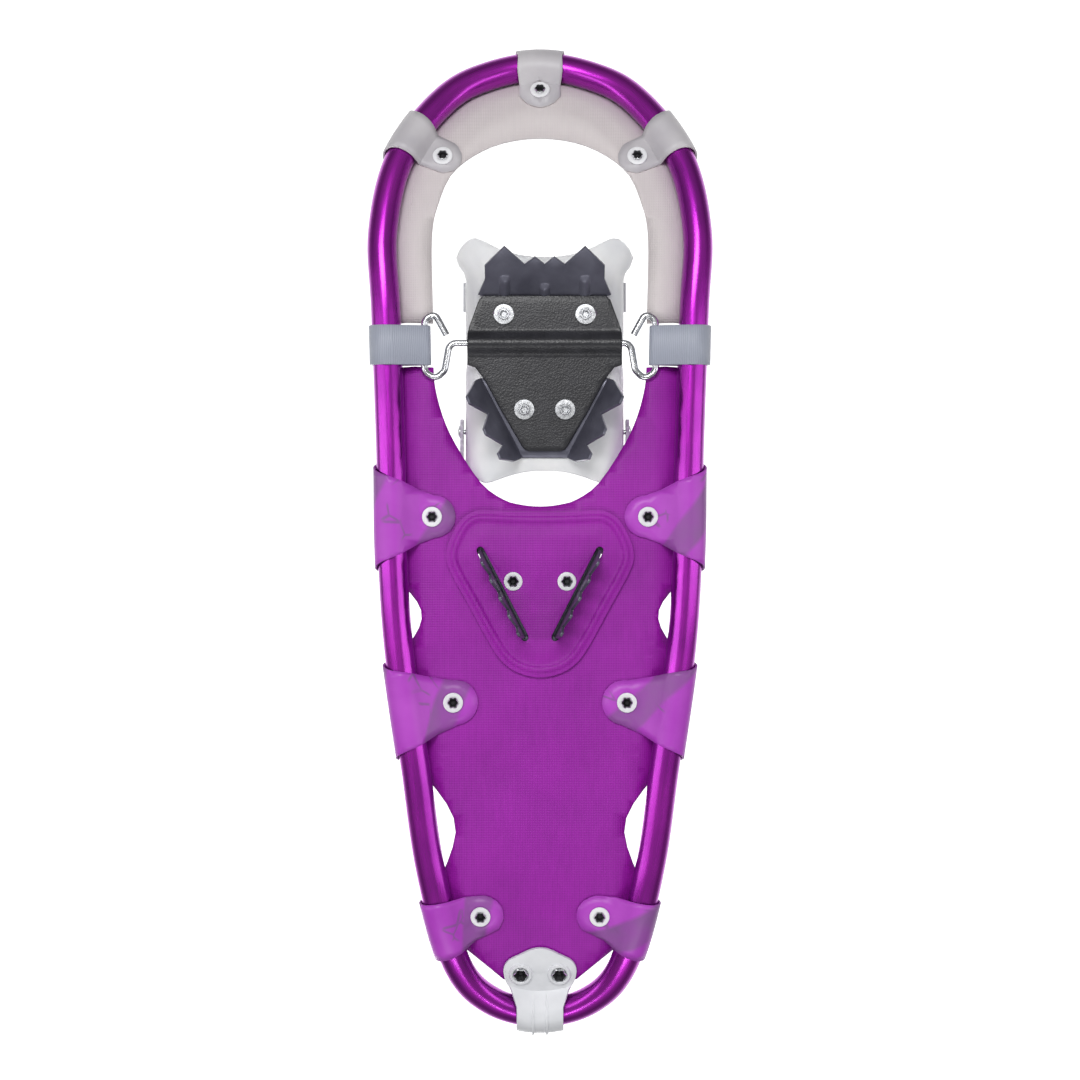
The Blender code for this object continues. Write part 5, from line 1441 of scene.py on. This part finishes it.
cradleLook = {"flare": 0.14, "across": 4, "along": 6, "round": 0.6}


def bindingCradle():
    outline = mirrored(smoothThrough(cradleHalf, 2))
    holes = pairHoles((frontRivet, rearRivet))
    holes += [circle(s * heelPivotAcross, heelPivotV, 2.1, 16) for s in (1, -1)]
    holes += [circle(-anchorAcross(label), strapAnchors[label][0], 2.5, 16) for label in strapAnchors]
    inner = [(x, v) for x in range(-112, 113, cradleLook["across"])
             for v in range(38, 196, cradleLook["along"])]

    def lay(across, v):
        x, v, n = bootSection(across, v)
        rise = min(1.0, max(0.0, (v - 172) / 14))
        return bindingPoint(x * (1 + cradleLook["flare"] * rise * rise * (3 - 2 * rise)), v, n)

    builder = cutSheet(outline, holes, inner, lay)
    made = finishObject("binding_cradle", builder, milky, 60.0)
    addThickness(made, cradleThick)
    soften(made, cradleLook["round"])
    return bake(made)


footPadLook = {"thick": 4.0, "edge": 1.0, "above": 1.3}
padShape = [(0, 176), (20, 175), (28, 170), (31, 160), (31, 140), (28, 118), (27, 100), (25, 70),
            (19, 60), (0, 57)]


def footPad():
    # rests just above the rivet heads
    low = cradleLevel + cradleThick / 2 + footPadLook["above"] + 2 * gap
    middle = low + footPadLook["thick"] / 2
    outline = mirrored(smoothThrough(padShape, 5))
    inner = [(x, v) for x in range(-30, 31, 4) for v in range(58, 176, 4)]
    builder = cutSheet(outline, [], inner, lambda x, v: bindingPoint(x, v, middle))
    made = finishObject("foot_pad", builder, foam, 60.0)
    addThickness(made, footPadLook["thick"])
    soften(made, footPadLook["edge"], 3)
    bake(made)
    return made


def strapAnchorRivet(label):
    v, height, angle = strapAnchors[label]
    place = archMatrix(v, math.pi - angle, 0.0, height)
    top = strapOffset + 1.5 + gap + 0.1
    low = -cradleThick / 2 - gap - 0.2
    profile = [(0, top + 1.8), (3.2, top + 1.5), (4.4, top + 0.6), (4.4, top), (1.7, top), (1.7, low),
               (3.8, low), (3.8, low - 1.0), (0, low - 1.0)]
    return finishObject(label + "_strap_rivet", turned(profile, rivetLook["plainSides"], place), rivetSteel)


def ribbon(builder, rows, width):
    # strap faces between rows of points, with the flat layer holding across and along in millimetres
    layer = builder.loops.layers.uv.new("flat")
    count = len(rows[0]) - 1
    run = 0.0
    for a, b in zip(rows, rows[1:]):
        step = (b[0].co - a[0].co).length
        for k in range(count):
            fresh = builder.faces.new([a[k], a[k + 1], b[k + 1], b[k]])
            for loop, (u, w) in zip(fresh.loops, ((k, 0), (k + 1, 0), (k + 1, step), (k, step))):
                loop[layer].uv = (width * u / count, run + w)
        run += step


archLook = {"wide": 22.0, "thick": 2.0, "steps": 70}


def archStrap(name, v, height, lowAngle):
    # strap over the boot, outside both wings of the cradle
    width = archLook["wide"]
    wide = soleHalf + soleCorner
    base = cradleLevel + soleCorner
    builder = bmesh.new()
    rows = []
    steps = archLook["steps"]
    for k in range(steps + 1):
        angle = lowAngle + (math.pi - 2 * lowAngle) * k / steps
        row = []
        for across in (-width / 2, -width / 4, 0, width / 4, width / 2):
            x, y, n = archPoint(angle, v + across, strapOffset + 0.5, wide, height, base)
            row.append(builder.verts.new(bindingPoint(x, y, n)))
        rows.append(row)
    ribbon(builder, rows, width)
    made = finishObject(name, builder, strapGrey, 50.0)
    addThickness(made, archLook["thick"])
    _, _, angle = strapAnchors[name.split("_")[0]]
    bore = turned([(0, -9), (2.1, -9), (2.1, 9), (0, 9)], 10, archMatrix(v, math.pi - angle, 2.0, height))
    addCut(made, bore, name + "_bore")
    soften(made, 0.5)
    return bake(made)


def archMatrix(v, angle, offset, height):
    # local frame on the boot arch: x along the strap upward, y along the shoe, z outward
    wide = soleHalf + soleCorner
    base = cradleLevel + soleCorner
    here = Vector(bindingPoint(*archPoint(angle, v, offset, wide, height, base)))
    outward = Vector((math.cos(angle) / wide, 0, math.sin(angle) / height)).normalized()
    forward = Vector((0, 1, 0))
    up = forward.cross(outward)
    frame = Matrix((up, forward, outward)).transposed().to_4x4()
    frame.translation = here
    return frame


buckleHalf = 14.6          # half width of the buckle across the strap
leverPin = (7.5, 6.6)      # pin place along the strap and above its outer face


def leverPlace(matrix):
    # local frame of the lever's pin, z along it
    centre = Matrix.Translation((leverPin[0], 0, leverPin[1]))
    return matrix @ centre @ Matrix.Rotation(math.pi / 2, 4, "X")


def pinBore(made, name, matrix):
    addCut(made, turned([(0, -20), (1.9, -20), (1.9, 20), (0, 20)], 12, leverPlace(matrix)), name + "_bore")


buckleLook = {"round": 0.7, "leverRound": 0.6, "roundSteps": 3, "pinSides": 24}


def buckleBody(name, matrix):
    # open frame that bridges the strap: two cheeks joined by a bar in front and one behind
    builder = boxed((-12, -buckleHalf, -2.0), (12, buckleHalf, 8.8))
    bmesh.ops.transform(builder, matrix=matrix, verts=builder.verts)
    made = finishObject(name, builder, buckleDark)
    cuts = [((-20, -11.6, -9), (20, 11.6, 0.4)), ((-8.6, -12.2, -1), (20, 12.2, 20)),
            ((-20, -20, 5.4), (-3.5, 20, 20))]
    for k, (low, high) in enumerate(cuts):
        cutter = boxed(low, high)
        bmesh.ops.transform(cutter, matrix=matrix, verts=cutter.verts)
        addCut(made, cutter, "%s_cut_%d" % (name, k))
    pinBore(made, name, matrix)
    soften(made, buckleLook["round"], buckleLook["roundSteps"])
    return bake(made)


def addCut(made, builder, name):
    cutter = finishObject(name, builder, buckleDark)
    cutter.hide_render = True
    cutter.display_type = "WIRE"
    cut = made.modifiers.new("cut", "BOOLEAN")
    cut.operation = "DIFFERENCE"
    cut.solver = "EXACT"
    cut.object = cutter


def buckleLever(name, matrix):
    # thumb lever with an eye round its pin
    builder = bmesh.new()
    outline = []
    for k in range(9):
        angle = math.radians(-60 + 210 * k / 8)
        outline.append((leverPin[0] + 3.6 * math.cos(angle), leverPin[1] + 3.6 * math.sin(angle)))
    outline += [(-8.0, 9.2), (-17.5, 8.0), (-18.2, 6.6), (-17.0, 5.9), (-8.0, 6.4), (2.0, 4.6)]
    front = [builder.verts.new((x, -11.6, z)) for x, z in outline]
    face = builder.faces.new(front)
    moved = bmesh.ops.extrude_face_region(builder, geom=[face])["geom"]
    far = [item for item in moved if isinstance(item, bmesh.types.BMVert)]
    bmesh.ops.translate(builder, vec=(0, 23.2, 0), verts=far)
    bmesh.ops.transform(builder, matrix=matrix, verts=builder.verts)
    made = finishObject(name, builder, buckleDark)
    pinBore(made, name, matrix)
    soften(made, buckleLook["leverRound"], buckleLook["roundSteps"])
    return bake(made)


def bucklePin(name, matrix):
    profile = [(0, -14.4), (1.2, -14.4), (1.5, -14.1), (1.5, 14.1), (1.2, 14.4), (0, 14.4)]
    return finishObject(name, turned(profile, buckleLook["pinSides"], leverPlace(matrix)), rivetSteel)


def buckle(label, matrix):
    buckleBody(label + "_buckle", matrix)
    buckleLever(label + "_buckle_lever", matrix)
    bucklePin(label + "_buckle_pin", matrix)


# heel strap
heelStrapLook = {"wide": 20.0, "thick": 2.0, "steps": 8}
heelStrapKnots = [(heelStrapX, heelPivotV + 8, heelPivotN + 0.5), (heelStrapX, heelPivotV, heelPivotN),
                  (53.4, 40, 26.5), (51.5, 8, 21), (46.5, -26, 17), (34.5, -54, 15.4), (17, -66.5, 15.2),
                  (0, -70, 15.2)]


def heelStrap():
    half = smoothThrough(heelStrapKnots, heelStrapLook["steps"])
    line = half + [(-x, v, n) for x, v, n in reversed(half[:-1])]
    wide = heelStrapLook["wide"]
    builder = bmesh.new()
    rows = [[builder.verts.new(bindingPoint(x, v, n + rise)) for rise in np.linspace(-wide / 2, wide / 2, 5)]
            for x, v, n in line]
    ribbon(builder, rows, wide)
    made = finishObject("heel_strap", builder, strapGrey, 50.0)
    addThickness(made, heelStrapLook["thick"])
    for side in (1, -1):
        bore = turned([(0, -9), (2.0, -9), (2.0, 9), (0, 9)], 10, pivotMatrix(side))
        addCut(made, bore, "heel_strap_bore_%d" % side)
    soften(made, 0.5)
    return bake(made)


def pivotMatrix(side):
    # local z points outward, away from the boot
    place = Matrix.Translation(Vector(bindingPoint(side * heelStrapX, heelPivotV, heelPivotN)))
    return place @ Matrix.Rotation(side * math.pi / 2, 4, "Y")


def heelStrapRivet(side, label):
    # holds the strap end to the cradle's rear wing
    inner = -2.0 - gap - cradleThick - 2.1
    profile = [(0, 2.6), (3.4, 2.4), (4.4, 1.6), (4.4, 1.0 + gap), (1.7, 1.0 + gap), (1.7, inner),
               (3.6, inner), (3.6, inner - 1.0), (0, inner - 1.0)]
    spun = turned(profile, rivetLook["plainSides"], pivotMatrix(side))
    return finishObject("heel_strap_rivet_" + label, spun, rivetSteel)


def buildAll():
    frameTube()
    tubeJointSleeve()
    mainDeck()
    toeDeck()
    tailClip()
    heelPad()
    heelCrampon()
    for side, label in ((1, "left"), (-1, "right")):
        for name, tab in deckTabs.items():
            tabFasteners(("deck_rivet_%s_%s" % (name, label), "deck_washer_%s_%s" % (name, label)), tab, side)
        tabFasteners(("toe_deck_rivet_" + label, "toe_deck_washer_" + label), toeTabs["side"], side)
        heelFasteners(side, label)
        tailRivet(side, label)
        crossStrap(side, label)
        heelStrapRivet(side, label)
        cramponRivet("toe_crampon_rivet_" + label, side * frontRivet[0], frontRivet[1])
        cramponRivet("rear_crampon_rivet_" + label, side * rearRivet[0], rearRivet[1])
    tabFasteners(("nose_rivet", "nose_washer"), toeTabs["nose"], 1)
    pivotAxle()
    print("frame and decks built")
    hingePlate()
    toeCrampon()
    rearCrampon()
    bindingCradle()
    footPad()
    archStrap("toe_strap", toeStrapV, toeHeight, math.radians(14))
    archStrap("instep_strap", instepStrapV, instepHeight, math.radians(22))
    outer = strapOffset + 1.5
    buckle("toe", archMatrix(toeStrapV, math.radians(62), outer, toeHeight))
    buckle("instep", archMatrix(instepStrapV, math.radians(60), outer, instepHeight))
    strapAnchorRivet("toe")
    strapAnchorRivet("instep")
    heelStrap()
    print("binding built")


buildAll()

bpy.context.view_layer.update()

import json

# backdrop, lights and camera
bpy.ops.mesh.primitive_plane_add(size=12, location=(0, 0, 3.4))
backdrop = bpy.context.object
backdrop.name = "backdrop"
paper, _, paperShader = newFinish("pale paper", 0.8)
paperShader.inputs["Base Color"].default_value = (0.95, 0.95, 0.95, 1)
paperShader.inputs["Emission Color"].default_value = (1, 1, 1, 1)
paperShader.inputs["Emission Strength"].default_value = 1.0
backdrop.data.materials.append(paper)
world = bpy.data.worlds.new("soft white")
bpy.context.scene.world = world
world.use_nodes = True
worldTree = world.node_tree
around = put(worldTree, "ShaderNodeTexCoord").outputs["Generated"]
direction = put(worldTree, "ShaderNodeSeparateXYZ", {0: around})
shade = put(worldTree, "ShaderNodeValToRGB", {"Fac": ramp(worldTree, direction.outputs[2], -1, 1)})
stops = shade.color_ramp.elements
stops[0].position, stops[0].color = 0.0, (0.40, 0.40, 0.40, 1)
stops[1].position, stops[1].color = 1.0, (0.85, 0.85, 0.85, 1)
for place, level in ((0.22, 0.36), (0.42, 0.14), (0.60, 0.30)):
    stop = stops.new(place)
    stop.color = (level, level, level, 1)
seen = put(worldTree, "ShaderNodeLightPath").outputs["Is Camera Ray"]
sky = blendColour(worldTree, seen, shade.outputs["Color"], (1, 1, 1))
worldTree.links.new(sky, worldTree.nodes["Background"].inputs["Color"])
bpy.context.scene.view_settings.view_transform = "Standard"


def softLight(name, place, target, size, power):
    lamp = bpy.data.lights.new(name, "AREA")
    lamp.shape = "RECTANGLE"
    lamp.size, lamp.size_y = size
    lamp.energy = power
    made = bpy.data.objects.new(name, lamp)
    made.location = place
    made.rotation_euler = (Vector(target) - Vector(place)).to_track_quat("-Z", "Y").to_euler()
    bpy.context.collection.objects.link(made)


softLight("leftStrip", (1.15, 0.0, -0.62), (0.05, 0, 0), (0.26, 1.7), 4)
softLight("rightStrip", (-1.15, 0.0, -0.62), (-0.05, 0, 0), (0.26, 1.7), 3.6)
softLight("front", (0.25, 0.75, -1.7), (0, 0, 0), (0.9, 0.5), 17)
softLight("tail", (0.0, -1.25, -1.2), (0, 0.1, 0), (1.3, 0.10), 5)
softLight("top", (0.3, -0.6, 1.6), (0, 0, 0), (1.2, 1.2), 12)

camera = bpy.data.objects.new("camera", bpy.data.cameras.new("camera"))
camera.data.lens = 104.17
camera.data.sensor_width = 36
camera.location = (0, -0.0015, -1.972)
camera.rotation_euler = (0, math.pi, 0)
bpy.context.collection.objects.link(camera)
bpy.context.scene.camera = camera

print("lights and camera set")
